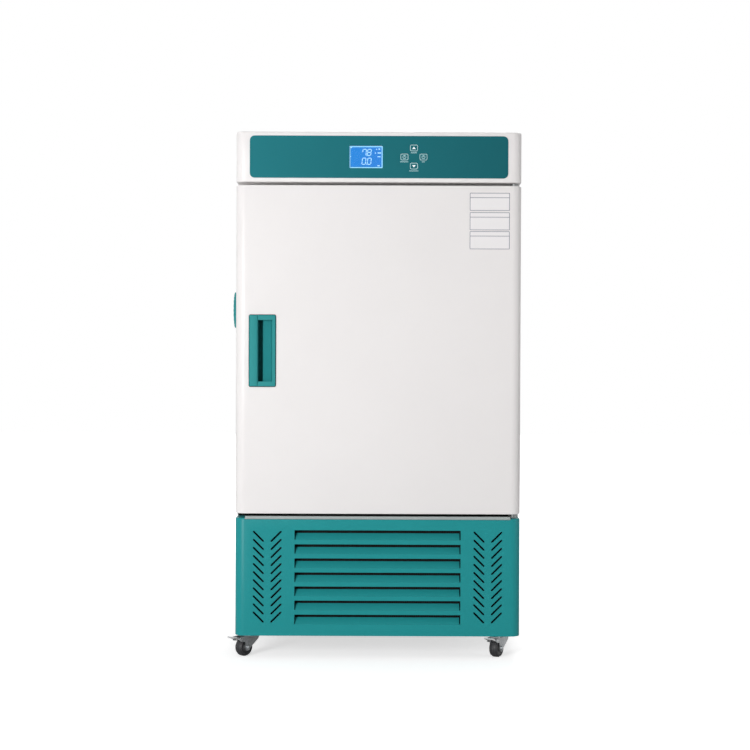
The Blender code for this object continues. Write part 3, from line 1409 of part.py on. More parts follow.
def build_drip_tray(parent):
    """The open tray that catches the chamber's condensate."""
    floor = PAN_FLOOR + FIT
    middle = (TRAY_X, CHAMBER_BACK - TRAY_SETBACK)
    flare = 0.006

    def ring(grow, height):
        half_x = TRAY_HALF[0] + grow
        half_y = TRAY_HALF[1] + grow
        outline = box_outline(
            middle[0] - half_x,
            middle[0] + half_x,
            middle[1] - half_y,
            middle[1] + half_y,
            2 * flare + grow,
            3,
        )
        return flat_ring(outline, "Z", height)

    wall = TRAY_WALL
    top = floor + TRAY_HEIGHT
    rings = [ring(0.0, floor), ring(flare, top), ring(flare - wall, top)]
    rings.append(ring(-wall, floor + wall))
    return finish(loft("drip_tray", rings, parent), BLACK, 0.5)


def build_drain_tube(parent):
    """The drain from the chamber's floor down to the drip tray."""
    seat = CHAMBER_FLOOR + 2 * FIT
    top = seat + DRAIN_LIP / 4
    low = PAN_FLOOR + 0.6 * TRAY_HEIGHT
    outer = DRAIN_RADIUS
    inner = DRAIN_RADIUS - DRAIN_WALL
    lip = outer + DRAIN_LIP
    profile = [(inner, top), (lip, top), (lip, seat), (outer, seat), (outer, low), (inner, low)]
    place = (DRAIN_PLACE[0], DRAIN_PLACE[1], 0.0)
    drain = turned("drain_tube", profile, parent, 20, closed=True, place=place)
    return finish(drain, LIGHT_GREY, 0.5)


def build_pipes(parent):
    """The copper lines between compressor, condenser and the foam above them."""
    across, along = COMPRESSOR_PLACE
    can_low = PAN_FLOOR + FIT + COMPRESSOR_FOOT + COMPRESSOR_PLATE / 2
    can_top = can_low + COMPRESSOR_HEIGHT
    crown = can_top + FIT + 0.0005
    under_foam = BASE_TOP
    condenser_end = CONDENSER_LEFT - FIT
    middle = CONDENSER_FRONT + CONDENSER_DEPTH / 2
    rise = can_top + PIPE_RISE
    entry = CONDENSER_TOP - DISCHARGE_DROP
    discharge = [
        (across, along, crown),
        (across, along, rise),
        (across, middle, rise),
        (across, middle, entry),
        (condenser_end, middle, entry),
    ]
    path = rounded_path(discharge, PIPE_BEND)
    finish(tube("discharge_line", path, DISCHARGE_RADIUS, parent, 2), COPPER, 0.3, 1.0)
    shoulder = COMPRESSOR_RADIUS + 0.0008
    height = can_low + SUCTION_RISE
    behind = along + shoulder + SUCTION_REACH
    suction = [
        (across, along + shoulder, height),
        (across, behind, height),
        (across, behind, under_foam),
    ]
    path = rounded_path(suction, PIPE_BEND)
    finish(tube("suction_line", path, SUCTION_RADIUS, parent, 2), COPPER, 0.3, 1.0)

    low = PAN_FLOOR + LIQUID_RISE
    beside = condenser_end - PIPE_REACH
    end = middle + LIQUID_RUN
    route = rounded_path(
        [
            (condenser_end, middle, low),
            (beside, middle, low),
            (beside, end, low),
            (beside, end, under_foam),
        ],
        PIPE_BEND,
    )
    drawn = tube("liquid_line_route", route, LIQUID_RADIUS, parent, 2)
    line = linked("liquid_line", settled(drawn), parent)
    bpy.data.objects.remove(drawn)
    half = DRIER_LENGTH / 2
    radius = DRIER_RADIUS
    drier = [(0.0, half), (radius / 2, half), (radius, half - radius), (radius, radius - half)]
    drier += [(radius / 2, -half), (0.0, -half)]
    place = (beside, end, (low + under_foam) / 2)
    unite(line, turned("filter_drier", drier, parent, 16, place=place))
    finish(line, COPPER, 0.3, 1.0)


def hinge_plate(name, low, high, door_edge, into_door, parent):
    """A hinge plate that reaches forward in a gap, with the pin on which the door turns."""
    radius = HINGE_PLATE_HALF
    back = FRONT_DEPTH - FIT
    arc = [math.radians(180 + 180 * step / 8) for step in range(9)]
    outline = [(HINGE_X + radius * math.cos(t), HINGE_DEPTH + radius * math.sin(t)) for t in arc]
    outline += [(HINGE_X + radius, back), (HINGE_X - radius, back)]
    plate = prism(name, outline, "Z", low, high, parent)
    middle = (low + high) / 2
    washer = circle_outline(HINGE_X, HINGE_DEPTH, HINGE_PIN + 0.0022, 12)
    pin = circle_outline(HINGE_X, HINGE_DEPTH, HINGE_PIN, 12)
    unite(
        plate,
        prism(name + "_washer", washer, "Z", *sorted((middle, door_edge)), parent),
        prism(name + "_pin", pin, "Z", *sorted((middle, into_door)), parent),
    )
    return finish(plate, STEEL, 0.35, 1.0)


def build_hinges(parent):
    """The two hinge plates, in the gaps below and above the door."""
    low = BASE_TOP + FIT
    lower = hinge_plate(
        "lower_hinge",
        low,
        low + HINGE_PLATE,
        DOOR_BOTTOM - FIT,
        DOOR_BOTTOM + HINGE_PIN_LENGTH,
        parent,
    )
    high = HEAD_BOTTOM - FIT
    upper = hinge_plate(
        "upper_hinge",
        high - HINGE_PLATE,
        high,
        DOOR_TOP + FIT,
        DOOR_TOP - HINGE_PIN_LENGTH,
        parent,
    )
    back = FRONT_DEPTH - FIT
    leg = block(
        "upper_hinge_leg",
        (HINGE_X - HINGE_PLATE_HALF, back - HINGE_PLATE, high - HINGE_PLATE / 2),
        (HINGE_X + HINGE_PLATE_HALF, back, high + HINGE_LEG),
        parent,
    )
    unite(upper, leg)
    return lower, upper


def hinge_pin_holes(name, parent):
    """The two blind holes that take the hinge pins."""
    hole = circle_outline(HINGE_X, HINGE_DEPTH, HINGE_PIN + FIT, 12)
    deep = HINGE_PIN_LENGTH + 0.0015
    return (
        prism(name + "_low", hole, "Z", DOOR_BOTTOM - 0.01, DOOR_BOTTOM + deep, parent),
        prism(name + "_high", hole, "Z", DOOR_TOP - deep, DOOR_TOP + 0.01, parent),
    )


def handle_pocket(name, grow, parent):
    """The rectangular space that the handle's bowl takes up in the door."""
    rim = HANDLE_BOWL_INSET - grow
    return block(
        name,
        (HANDLE_LEFT + rim, -0.01, HANDLE_BOTTOM + rim),
        (HANDLE_LEFT + HANDLE_WIDTH - rim, HANDLE_DEPTH + grow, HANDLE_TOP - rim),
        parent,
    )


def build_door(cabinet):
    """The door: painted skin, foam, pressed inner panel, gasket and recessed pull."""
    place = (HINGE_X, HINGE_DEPTH, 0.0)
    pivot = empty("door_axis", cabinet, place)

    skin = front_pan("door_skin", DOOR_BOTTOM, DOOR_TOP, DOOR_DEPTH, SHEET, False, cabinet)
    cut(skin, handle_pocket("skin_pocket", FIT, cabinet), *hinge_pin_holes("skin_pin", cabinet))
    finish(skin, WHITE, 0.35)

    inset = SHEET + FIT
    panel_sheet = PANEL_SHEET
    foam_back = DOOR_DEPTH - panel_sheet - FIT
    low = DOOR_BOTTOM + inset
    high = DOOR_TOP - inset
    foam = prism("door_foam", front_plan(inset, foam_back), "Z", low, high, cabinet)
    field = panel_field(-panel_sheet - FIT)
    unite(
        foam, prism("foam_field", field, "Y", foam_back - 0.004, foam_back + PANEL_STEP, cabinet)
    )
    cut(foam, handle_pocket("foam_pocket", FIT, cabinet), *hinge_pin_holes("foam_pin", cabinet))
    finish(foam, FOAM, 0.9)

    side = HALF_WIDTH - inset
    edge = box_outline(-side, side, low, high, 0.008)
    front = DOOR_DEPTH - panel_sheet
    rings = [
        flat_ring(edge, "Y", DOOR_DEPTH),
        flat_ring(panel_field(PANEL_SLOPE), "Y", DOOR_DEPTH),
        flat_ring(panel_field(0.0), "Y", DOOR_DEPTH + PANEL_STEP),
    ]
    under = [
        flat_ring(panel_field(-panel_sheet), "Y", front + PANEL_STEP),
        flat_ring(panel_field(PANEL_SLOPE - panel_sheet), "Y", front),
        flat_ring(edge, "Y", front),
    ]
    panel = loft("door_panel", rings[::-1] + under[::-1], cabinet)
    finish(panel, WHITE, 0.4)

    gasket = build_gasket(cabinet)
    handle = build_handle(cabinet)
    for piece in (skin, foam, panel, gasket, handle):
        at_pivot(piece, pivot, place)


def panel_field(grow):
    """The raised middle of the door's inner panel."""
    margin = PANEL_MARGIN
    return box_outline(
        -CHAMBER_HALF + margin - grow,
        CHAMBER_HALF - margin + grow,
        CHAMBER_FLOOR + margin - grow,
        CHAMBER_CEILING - margin + grow,
        PANEL_RADIUS + grow,
    )


def build_gasket(parent):
    """The magnetic gasket's section, carried round a rectangle."""
    half_x = CHAMBER_HALF + GASKET_INSET + GASKET_WIDTH / 2
    low = CHAMBER_FLOOR - GASKET_INSET - GASKET_WIDTH / 2
    high = CHAMBER_CEILING + GASKET_INSET + GASKET_WIDTH / 2
    front = DOOR_DEPTH + FIT
    back = FRONT_DEPTH - FIT
    reach = GASKET_WIDTH / 2
    middle = (front + back) / 2
    section = [(-reach, back), (-reach, back - 0.0025), (-reach * 0.55, middle)]
    section += [(-reach * 0.8, front), (reach * 0.8, front), (reach * 0.55, middle)]
    section += [(reach, back - 0.0025), (reach, back)]
    rings = []
    for grow, along in section:
        outline = box_outline(
            -half_x - grow, half_x + grow, low - grow, high + grow, 0.012 + grow
        )
        rings.append(flat_ring(outline, "Y", along))
    return finish(loft("door_gasket", rings, parent, cyclic=True), LIGHT_GREY, 0.7)


def build_handle(parent):
    """The recessed pull: a frame, a deep slot behind the grip bar and a sloping bowl."""
    left = HANDLE_LEFT
    right = left + HANDLE_WIDTH
    frame_outline = box_outline(left, right, HANDLE_BOTTOM, HANDLE_TOP, 0.003, 3)
    frame = prism("door_handle", frame_outline, "Y", -HANDLE_PROUD, -FIT, parent)
    soften(frame, 0.0008, 2)
    inset = HANDLE_BOWL_INSET
    bowl_low = (left + inset, -HANDLE_PROUD / 2, HANDLE_BOTTOM + inset)
    bowl_high = (right - inset, HANDLE_DEPTH, HANDLE_TOP - inset)
    unite(frame, block("handle_bowl", bowl_low, bowl_high, parent))
    deep = HANDLE_DEPTH - HANDLE_WALL
    grip = left + GRIP_WIDTH
    rim = right - HANDLE_RIM
    undercut = left + HANDLE_UNDERCUT
    plan = [
        (grip, -HANDLE_PROUD - 0.01),
        (rim, -HANDLE_PROUD - 0.01),
        (rim, -HANDLE_PROUD),
        (rim - 0.0030, deep * 0.30),
        (grip + GRIP_WIDTH / 2, deep * 0.42),
        (grip + GRIP_WIDTH * 0.45, deep),
        (undercut, deep),
        (undercut, GRIP_THICKNESS + HANDLE_WALL),
        (grip, GRIP_THICKNESS),
    ]
    bar_front = -HANDLE_PROUD - GRIP_PROUD
    bar_back = -HANDLE_PROUD / 2
    bar_radius = bar_back - bar_front
    bar_outline = box_outline(left, grip, bar_front, bar_back, bar_radius, 4, (1, 1, 0, 0))
    bar_low = HANDLE_BOTTOM + HANDLE_BOWL_INSET
    bar_high = HANDLE_TOP - HANDLE_BOWL_INSET
    unite(frame, prism("handle_bar", bar_outline, "Z", bar_low, bar_high, parent))
    low = HANDLE_BOTTOM + HANDLE_END
    high = HANDLE_TOP - HANDLE_END
    hollow = prism("handle_hollow", plan, "Z", low, high, parent)
    cut(frame, hollow)
    return finish(frame, TEAL, 0.4)


def build_glass_door(cabinet):
    """The inner glass door with its pivot clips and knob."""
    place = (GLASS_PIVOT_X, GLASS_PIVOT_Y, 0.0)
    pivot = empty("glass_door_axis", cabinet, place)
    back = GLASS_FRONT + GLASS_THICKNESS
    left = -CHAMBER_HALF + GLASS_CLEARANCE
    right = GLASS_PIVOT_X + 2 * GLASS_PIN
    low = CHAMBER_FLOOR + GLASS_CLEARANCE
    high = CHAMBER_CEILING - GLASS_CLEARANCE
    outline = box_outline(left, right, low, high, GLASS_CORNER, 3)
    pane = prism("glass_pane", outline, "Y", GLASS_FRONT, back, cabinet)
    finish(pane, (0.80, 0.90, 0.88), 0.05, 0.0, 0.3)
    at_pivot(pane, pivot, place)
    for name, edge, inward in (("lower", low, 1), ("upper", high, -1)):
        foot = edge - inward * 0.0020
        tip = edge + inward * GLASS_CLIP_HEIGHT
        clip_left = GLASS_PIVOT_X - 0.0180
        clip_right = GLASS_PIVOT_X + 0.0055
        clip = block(
            f"{name}_glass_clip",
            (clip_left, GLASS_FRONT - 0.0018, min(foot, tip)),
            (clip_right, back + 0.0018, max(foot, tip)),
            cabinet,
        )
        slot = sorted((edge - inward * FIT, tip + inward * 0.01))
        groove = block(
            f"{name}_clip_groove",
            (clip_left - 0.01, GLASS_FRONT - FIT, slot[0]),
            (clip_right + 0.01, back + FIT, slot[1]),
            cabinet,
        )
        cut(clip, groove)
        shelf = CHAMBER_FLOOR if inward > 0 else CHAMBER_CEILING
        pin = circle_outline(GLASS_PIVOT_X, GLASS_PIVOT_Y, GLASS_PIN, 10)
        reach = sorted((edge - inward * 0.0010, shelf - inward * 0.0008))
        unite(clip, prism(f"{name}_clip_pin", pin, "Z", *reach, cabinet))
        finish(clip, STEEL, 0.3, 1.0)
        at_pivot(clip, pivot, place)
    radius = GLASS_KNOB_RADIUS
    depth = GLASS_FRONT - DOOR_DEPTH - PANEL_STEP - 4 * FIT
    profile = [(0.0, depth), (radius * 0.8, depth), (radius, depth * 0.8), (radius * 0.7, depth * 0.3)]
    profile += [(radius * 0.75, FIT), (0.0, FIT)]
    knob_place = (-CHAMBER_HALF + 0.024, GLASS_FRONT, DOOR_MIDDLE)
    knob = turned("glass_door_knob", profile, cabinet, 20, axis="Y", place=knob_place)
    knob.rotation_euler = (math.pi / 2, 0, 0)
    finish(knob, BLACK, 0.4)
    at_pivot(knob, pivot, place)


def main():
    """Builds every sub-part of the incubator."""
    clear_scene()
    cabinet = empty("cabinet", None, (-FOOTPRINT_X, -FOOTPRINT_Y, 0.0))
    build_cabinet_shell(cabinet)
    build_insulation(cabinet)
    build_liner(cabinet)
    build_air_baffle(cabinet)
    build_circulation_fan(cabinet)
    build_evaporator(cabinet)
    build_heater(cabinet)
    build_probe(cabinet)
    build_rack("left_rack", -1, cabinet)
    build_rack("right_rack", 1, cabinet)
    build_shelves(cabinet)
    build_port(cabinet)
    build_head(cabinet)
    build_base_front(cabinet)
    build_base_sill(cabinet)
    build_base_pan(cabinet)
    build_castors(cabinet)
    build_rear_panel(cabinet)
    build_power_inlet(cabinet)
    build_compressor(cabinet)
    build_condenser(cabinet)
    build_condenser_fan(cabinet)
    build_drip_tray(cabinet)
    build_drain_tube(cabinet)
    build_pipes(cabinet)
    build_hinges(cabinet)
    build_door(cabinet)
    build_glass_door(cabinet)


main()
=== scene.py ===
"""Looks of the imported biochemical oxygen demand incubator: finishes, prints, fasteners, studio."""

import json
import logging
import math
from collections.abc import Iterable, Sequence
from dataclasses import dataclass, field, replace
from enum import Enum

import bmesh
import bpy
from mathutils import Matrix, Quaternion, Vector

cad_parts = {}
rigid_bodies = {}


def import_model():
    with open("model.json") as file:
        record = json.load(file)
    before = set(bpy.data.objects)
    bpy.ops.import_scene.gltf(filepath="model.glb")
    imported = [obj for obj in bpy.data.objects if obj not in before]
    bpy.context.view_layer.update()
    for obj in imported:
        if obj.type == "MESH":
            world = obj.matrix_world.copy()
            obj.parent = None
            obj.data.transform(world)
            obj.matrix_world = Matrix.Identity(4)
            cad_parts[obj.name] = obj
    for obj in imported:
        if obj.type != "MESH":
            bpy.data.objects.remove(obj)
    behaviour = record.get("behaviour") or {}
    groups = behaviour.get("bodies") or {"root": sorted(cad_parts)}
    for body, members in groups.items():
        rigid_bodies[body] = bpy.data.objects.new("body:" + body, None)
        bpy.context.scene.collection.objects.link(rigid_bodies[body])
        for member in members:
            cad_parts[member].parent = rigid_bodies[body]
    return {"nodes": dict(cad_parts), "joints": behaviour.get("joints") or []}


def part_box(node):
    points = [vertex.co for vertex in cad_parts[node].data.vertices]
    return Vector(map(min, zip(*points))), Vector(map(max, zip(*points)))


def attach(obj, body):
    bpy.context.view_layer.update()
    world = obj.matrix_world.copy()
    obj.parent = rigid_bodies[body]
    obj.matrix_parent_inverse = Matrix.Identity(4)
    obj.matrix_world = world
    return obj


for leftover in list(bpy.data.objects):
    bpy.data.objects.remove(leftover)
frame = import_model()

log = logging.getLogger("incubator")

Outline = Sequence[tuple[float, float]]
Span = tuple[float, float]
Triple = tuple[float, float, float]
# Shares of a side's width, and shares of its height
Shares = tuple[tuple[float, ...], tuple[float, ...]]
Ring = list[bmesh.types.BMVert]
Node = bpy.types.Node
Socket = bpy.types.NodeSocket
# The name or the number of a node's socket
Pin = str | int

# Metres in the frame that one pixel of the photograph covers at the door's face
PIXEL = 0.002067
# Faces that meet at less than this angle are shaded as one round face
SMOOTH_LIMIT = math.radians(32)
# Edges that turn by more than this angle take a bevel
BEVEL_LIMIT = math.radians(40)
# Corners that lie closer together than this are one corner
WELD = 0.000002
# A ring of a smaller radius than this is a single point
POINT = 1e-7
# The straight pieces that make up a rectangle's round corner
CORNER_STEPS = 5
# How deep a print or a screw head is let into what carries it
SEAT = 0.00004
# The corners of the cabinet that carry a castor
CORNERS = ("front_left", "front_right", "rear_left", "rear_right")
UP = Vector((0, 0, 1))
WHITE = (1.0, 1.0, 1.0, 1.0)
# How far before the air baffle the fan guard's rings stand
GUARD_GAP = 0.0030

# The range in which a noise mostly lies
NOISE = (0.25, 0.75)
# The slow drift of a colour, and the smudges that vary its gloss
DRIFT = {"Scale": 9.0, "Detail": 4.0, "Roughness": 0.6}
SMUDGES = {"Scale": 22.0, "Detail": 5.0, "Roughness": 0.65}
# How convex an edge is where its wear starts, and where it is full
WORN_EDGE = (0.52, 0.62)
# How much brighter a worn edge is, and what it gains besides
WORN_GAIN, WORN_LIFT = 1.6, 0.05
BUMP_STRENGTH = 0.35
COAT_ROUGHNESS = 0.12
LEAST_ROUGHNESS = 0.02
# The factor, the two colours and the result among a Mix node's sockets
FACTOR, FIRST, SECOND, RESULT = 0, 6, 7, 2


class Facing(Enum):
    """The way a flat outline is pushed out: along Y or along X."""

    FRONT = "Y"
    SIDE = "X"

    def point(self, u: float, v: float, along: float) -> Vector:
        """Gives the frame's point at the outline's u and v, pushed out to a place along."""
        return Vector((u, along, v) if self is Facing.FRONT else (along, u, v))


class Grain(Enum):
    """The fine structure of a surface."""

    PEEL = "powder coat"
    MOULDED = "moulded"
    BRUSHED_ACROSS = "brushed along X"
    BRUSHED_UP = "brushed along Z"
    SPANGLE = "zinc crystals"
    CAST = "cast or stamped"
    PORES = "foam pores"
    SMOOTH = "polished"


class Wave(Enum):
    """Where a row of stripes starts: between two lines, or on a light one."""

    BETWEEN = "SINE"
    ON = "COSINE"


# How a brushed grain is drawn out, and how fine the relief of some grains is
STRETCH = {Grain.BRUSHED_ACROSS: (0.02, 1.0, 1.0), Grain.BRUSHED_UP: (1.0, 1.0, 0.02)}
DETAIL = {Grain.PEEL: 1.0, Grain.MOULDED: 4.0}


class Tree:
    """A node tree, built node by node."""

    def __init__(self, tree: bpy.types.NodeTree) -> None:
        """Empties the tree that it builds.

        Args:
            tree: a material's, a world's or a modifier's tree.
        """
        self.nodes = tree.nodes
        self.links = tree.links
        self.nodes.clear()

    def add(self, kind: str, inputs: dict[Pin, object] | None = None, **settings: object) -> Node:
        """Adds a node.

        Args:
            kind: Blender's name of the node type.
            inputs: values of its sockets.
            **settings: properties of the node itself.

        Returns:
            The new node.
        """
        node = self.nodes.new(kind)
        for key, value in settings.items():
            setattr(node, key, value)
        for key, value in (inputs or {}).items():
            node.inputs[key].default_value = value
        return node

    def join(self, source: Node, output: Pin, target: Node, socket: Pin) -> None:
        """Links one node's output to another's input."""
        self.links.new(source.outputs[output], target.inputs[socket])

    def ranged(self, source: Node, output: Pin, span: Span, result: Span) -> Socket:
        """Maps a value from one range onto another, whose ends it doesn't leave.

        Args:
            source: the node that gives the value.
            output: its output.
            span: the range that the value comes from.
            result: the range that it is mapped onto.

        Returns:
            The output that holds the result.
        """
        names = ("From Min", "From Max", "To Min", "To Max")
        node = self.add("ShaderNodeMapRange", dict(zip(names, (*span, *result))))
        self.join(source, output, node, "Value")
        return node.outputs["Result"]

    def mix(self, blend: str, factor: object, first: object, second: object) -> Socket:
        """Mixes two colours. Each value is an output of a node or a constant.

        Args:
            blend: Blender's name of the blend type.
            factor: the share of the second colour.
            first: the first colour.
            second: the second colour.

        Returns:
            The output that holds the mixed colour.
        """
        node = self.add("ShaderNodeMix", data_type="RGBA", blend_type=blend)
        for socket, value in ((FACTOR, factor), (FIRST, first), (SECOND, second)):
            if isinstance(value, Socket):
                self.links.new(value, node.inputs[socket])
            else:
                node.inputs[socket].default_value = value
        return node.outputs[RESULT]


def new_material(name: str) -> bpy.types.Material:
    """Makes a material that has a node tree.

    Args:
        name: its name.

    Returns:
        The material.
    """
    material = bpy.data.materials.new(name)
    material.use_nodes = True
    return material


class Surface(Tree):
    """A finish's tree, with its texture coordinates and its shader."""

    def __init__(self, material: bpy.types.Material, values: dict[Pin, object]) -> None:
        """Starts the tree.

        Args:
            material: the material that it belongs to.
            values: values of the shader's sockets.
        """
        super().__init__(material.node_tree)
        self.place = self.add("ShaderNodeTexCoord")
        self.shader = self.add("ShaderNodeBsdfPrincipled", values)
        self.join(self.shader, "BSDF", self.add("ShaderNodeOutputMaterial"), "Surface")

    def placed(self, node: Node) -> Node:
        """Makes a node work on the object's own coordinates, and returns it."""
        self.join(self.place, "Object", node, "Vector")
        return node

    def lead(self, output: Socket, socket: str) -> None:
        """Links an output to a socket of the shader."""
        self.links.new(output, self.shader.inputs[socket])


@dataclass(frozen=True)
class Finish:
    """One surface finish, from which its material is made."""

    name: str
    slot: str
    colour: Triple
    roughness: float
    grain: Grain
    metallic: float = 0.0
    size: float = 0.0012
    depth: float = 0.00005
    tone: float = 0.02
    smudge: float = 0.04
    coat: float = 0.0
    alpha: float = 1.0
    glow: float = 0.0
    wear: float = 0.0
    shine: float = 0.5

    def material(self) -> bpy.types.Material:
        """Builds the material, or returns the one that is there.

        Returns:
            The Blender material with its nodes.
        """
        if self not in BUILT:
            BUILT[self] = new_material(self.name)
            values = {
                "Metallic": self.metallic,
                "Alpha": self.alpha,
                "Coat Weight": self.coat,
                "Coat Roughness": COAT_ROUGHNESS,
                "Specular IOR Level": self.shine,
                "Emission Color": (*self.colour, 1.0),
                "Emission Strength": self.glow,
            }
            surface = Surface(BUILT[self], values)
            self._tint(surface)
            self._roughen(surface)
            if self.grain is not Grain.SMOOTH:
                self._texture(surface)
        return BUILT[self]

    def _tint(self, surface: Surface) -> None:
        """Gives the colour a slow, faint drift, crystals on zinc, worn edges and its pattern.

        Args:
            surface: the material's tree.
        """
        kind, output, values = "ShaderNodeTexNoise", "Fac", DRIFT
        if self.grain is Grain.SPANGLE:
            kind, output, values = "ShaderNodeTexVoronoi", "Color", {"Scale": 1 / self.size}
        drift = surface.placed(surface.add(kind, values))
        share = surface.ranged(drift, output, NOISE, (1 - self.tone, 1 + self.tone))
        result = surface.mix("MULTIPLY", 1.0, (*self.colour, 1.0), share)
        if self.wear:
            edge = surface.add("ShaderNodeNewGeometry")
            rubbed = surface.ranged(edge, "Pointiness", WORN_EDGE, (0.0, self.wear))
            lighter = tuple(min(1.0, part * WORN_GAIN + WORN_LIFT) for part in self.colour)
            result = surface.mix("MIX", rubbed, result, (*lighter, 1.0))
        surface.lead(self._pattern(surface, result), "Base Color")

    def _pattern(self, surface: Surface, colour: Socket) -> Socket:
        """Leaves the tinted colour plain. A patterned finish lays its pattern over it here."""
        return colour

    def _roughen(self, surface: Surface) -> None:
        """Varies the roughness as handling and cleaning do.

        Args:
            surface: the material's tree.
        """
        smudges = surface.placed(surface.add("ShaderNodeTexNoise", SMUDGES))
        low = max(LEAST_ROUGHNESS, self.roughness - self.smudge)
        varied = surface.ranged(smudges, "Fac", NOISE, (low, self.roughness + self.smudge))
        surface.lead(varied, "Roughness")

    def _texture(self, surface: Surface) -> None:
        """Adds the fine relief of the grain as a bump.

        Args:
            surface: the material's tree.
        """
        stretch = STRETCH.get(self.grain, (1.0, 1.0, 1.0))
        mapping = surface.placed(surface.add("ShaderNodeMapping", {"Scale": stretch}))
        kind, output, values = "ShaderNodeTexVoronoi", "Distance", {"Scale": 1 / self.size}
        if self.grain is not Grain.PORES:
            kind, output = "ShaderNodeTexNoise", "Fac"
            values["Detail"] = DETAIL.get(self.grain, 3.0)
        relief = surface.add(kind, values)
        surface.join(mapping, "Vector", relief, "Vector")
        bump = surface.add("ShaderNodeBump", {"Strength": BUMP_STRENGTH, "Distance": self.depth})
        surface.join(relief, output, bump, "Height")
        surface.join(bump, "Normal", surface.shader, "Normal")


# Each finish's material, once it is built
BUILT: dict[Finish, bpy.types.Material] = {}


@dataclass(frozen=True)
class TintRampAndPaintedShade(Finish):
    """A finish whose colour passes into a second one along an axis: painted shade across the overlay
    and into the handle's recess, and a slight change of tint across the backlight.
    """

    second: Triple = (0.0, 0.0, 0.0)
    axis: str = "X"
    left: float = -0.05
    right: float = 0.02

    def _pattern(self, surface: Surface, colour: Socket) -> Socket:
        """Mixes the second colour in towards the far end.

        Args:
            surface: the material's tree.
            colour: the output that holds the tinted colour.

        Returns:
            The mixed colour's output.
        """
        parts = surface.placed(surface.add("ShaderNodeSeparateXYZ"))
        share = surface.ranged(parts, self.axis, (self.left, self.right), (0.0, 1.0))
        mixed = surface.mix("MIX", share, colour, (*self.second, 1.0))
        if self.glow:
            surface.lead(mixed, "Emission Color")
        return mixed


@dataclass(frozen=True)
class StripedPaintedShade(Finish):
    """A finish with fine dark lines of painted shade: in the gaps between fins on edge, between a
    mesh's wires, or in the grooves of a tread.
    """

    centre: Triple = (0.0, 0.0, 0.0)
    axis: Triple = (1.0, 0.0, 0.0)
    pitch: float = 0.0024
    gap: float = 0.25
    fade: Span = (-0.6, 0.4)
    wave: Wave = Wave.BETWEEN

    def _pattern(self, surface: Surface, colour: Socket) -> Socket:
        """Paints shade on the lines that lie at every pitch along the axis.

        Args:
            surface: the material's tree.
            colour: the output that holds the tinted colour.

        Returns:
            The striped colour's output.
        """
        shifted = surface.add("ShaderNodeVectorMath", {1: self.centre}, operation="SUBTRACT")
        along = surface.add("ShaderNodeVectorMath", {1: self.axis}, operation="DOT_PRODUCT")
        surface.join(surface.placed(shifted), 0, along, 0)
        rate = 2 * math.pi / self.pitch
        turns = surface.add("ShaderNodeMath", {1: rate}, operation="MULTIPLY")
        surface.join(along, "Value", turns, 0)
        wave = surface.add("ShaderNodeMath", operation=self.wave.value)
        surface.join(turns, 0, wave, 0)
        share = surface.ranged(wave, 0, self.fade, (self.gap, 1.0))
        return surface.mix("MULTIPLY", 1.0, colour, share)


WHITE_COAT = Finish(
    "white_powder_coat", "white_paint", (0.84, 0.815, 0.81), 0.31, Grain.PEEL, size=0.0016,
    depth=0.000018, tone=0.008, smudge=0.020, shine=0.25,
)
TEAL_COAT = Finish(
    "teal_powder_coat", "teal_paint", (0.018, 0.275, 0.287), 0.31, Grain.PEEL, size=0.0016,
    depth=0.000018, tone=0.015, smudge=0.020, shine=0.10,
)
TEAL_MOULDING = Finish(
    "teal_moulding", "teal_plastic", (0.034, 0.275, 0.280), 0.55, Grain.MOULDED, size=0.0007,
    shine=0.08,
)
# The handle's moulding, darker deeper in along Y: painted shade in its recess
HANDLE_MOULDING_PAINTED_SHADE = TintRampAndPaintedShade(
    "handle_moulding_painted_shade", "teal_plastic", (0.034, 0.280, 0.285), 0.55, Grain.MOULDED, size=0.0007,
    shine=0.08, second=(0.010, 0.222, 0.233), axis="Y",
)
# A near-black band round the handle's frame: painted shadow along the frame's edges
HANDLE_PAINTED_SHADOW = Finish(
    "handle_painted_shadow", "black_plastic", (0.004, 0.030, 0.030), 0.7, Grain.CAST, shine=0.1
)
# The overlay film, darker from left to right along X: painted shade where less light falls on the
# head's right side
FILM_PAINTED_SHADE = TintRampAndPaintedShade(
    "overlay_film_painted_shade", "overlay_film", (0.014, 0.178, 0.206), 0.40, Grain.MOULDED, size=0.0005,
    depth=0.00002, tone=0.010, smudge=0.02, shine=0.08,
    second=(0.010, 0.118, 0.140), left=-0.25, right=0.27,
)
# Printed inks on the overlay and the keys; their glow is painted light, for ink that is no lamp
PALE_INK_PAINTED_GLOW = Finish("pale_ink_painted_glow", "overlay_film", (0.58, 0.84, 0.86), 0.45, Grain.SMOOTH, glow=0.12)
WHITE_INK_PAINTED_GLOW = Finish("white_ink_painted_glow", "overlay_film", (0.90, 0.96, 0.96), 0.45, Grain.SMOOTH, glow=0.15)
LENS = Finish(
    "clear_lens", "display_lens", (0.04, 0.18, 0.45), 0.10, Grain.SMOOTH, alpha=0.03, shine=0.3
)
BACKLIGHT = TintRampAndPaintedShade(
    "blue_backlight", "display_body", (0.028, 0.224, 0.640), 0.6, Grain.SMOOTH, tone=0.05,
    glow=0.26, shine=0.05, second=(0.035, 0.210, 0.640), left=-0.030, right=0.016,
)
SEGMENTS = Finish(
    "lit_segments", "display_body", (0.42, 0.72, 0.98), 0.5, Grain.SMOOTH, glow=0.35, shine=0.1
)
FRAME_INK = Finish(
    "display_edge", "display_body", (0.34, 0.72, 0.88), 0.5, Grain.SMOOTH, glow=0.30, shine=0.1
)
BOARD = Finish(
    "solder_mask", "circuit_board", (0.015, 0.15, 0.06), 0.42, Grain.CAST, size=0.004, tone=0.12
)
STAINLESS = Finish(
    "stainless_sheet", "stainless", (0.62, 0.62, 0.61), 0.33, Grain.BRUSHED_UP, 1.0,
    size=0.0007, depth=0.00002, smudge=0.03,
)
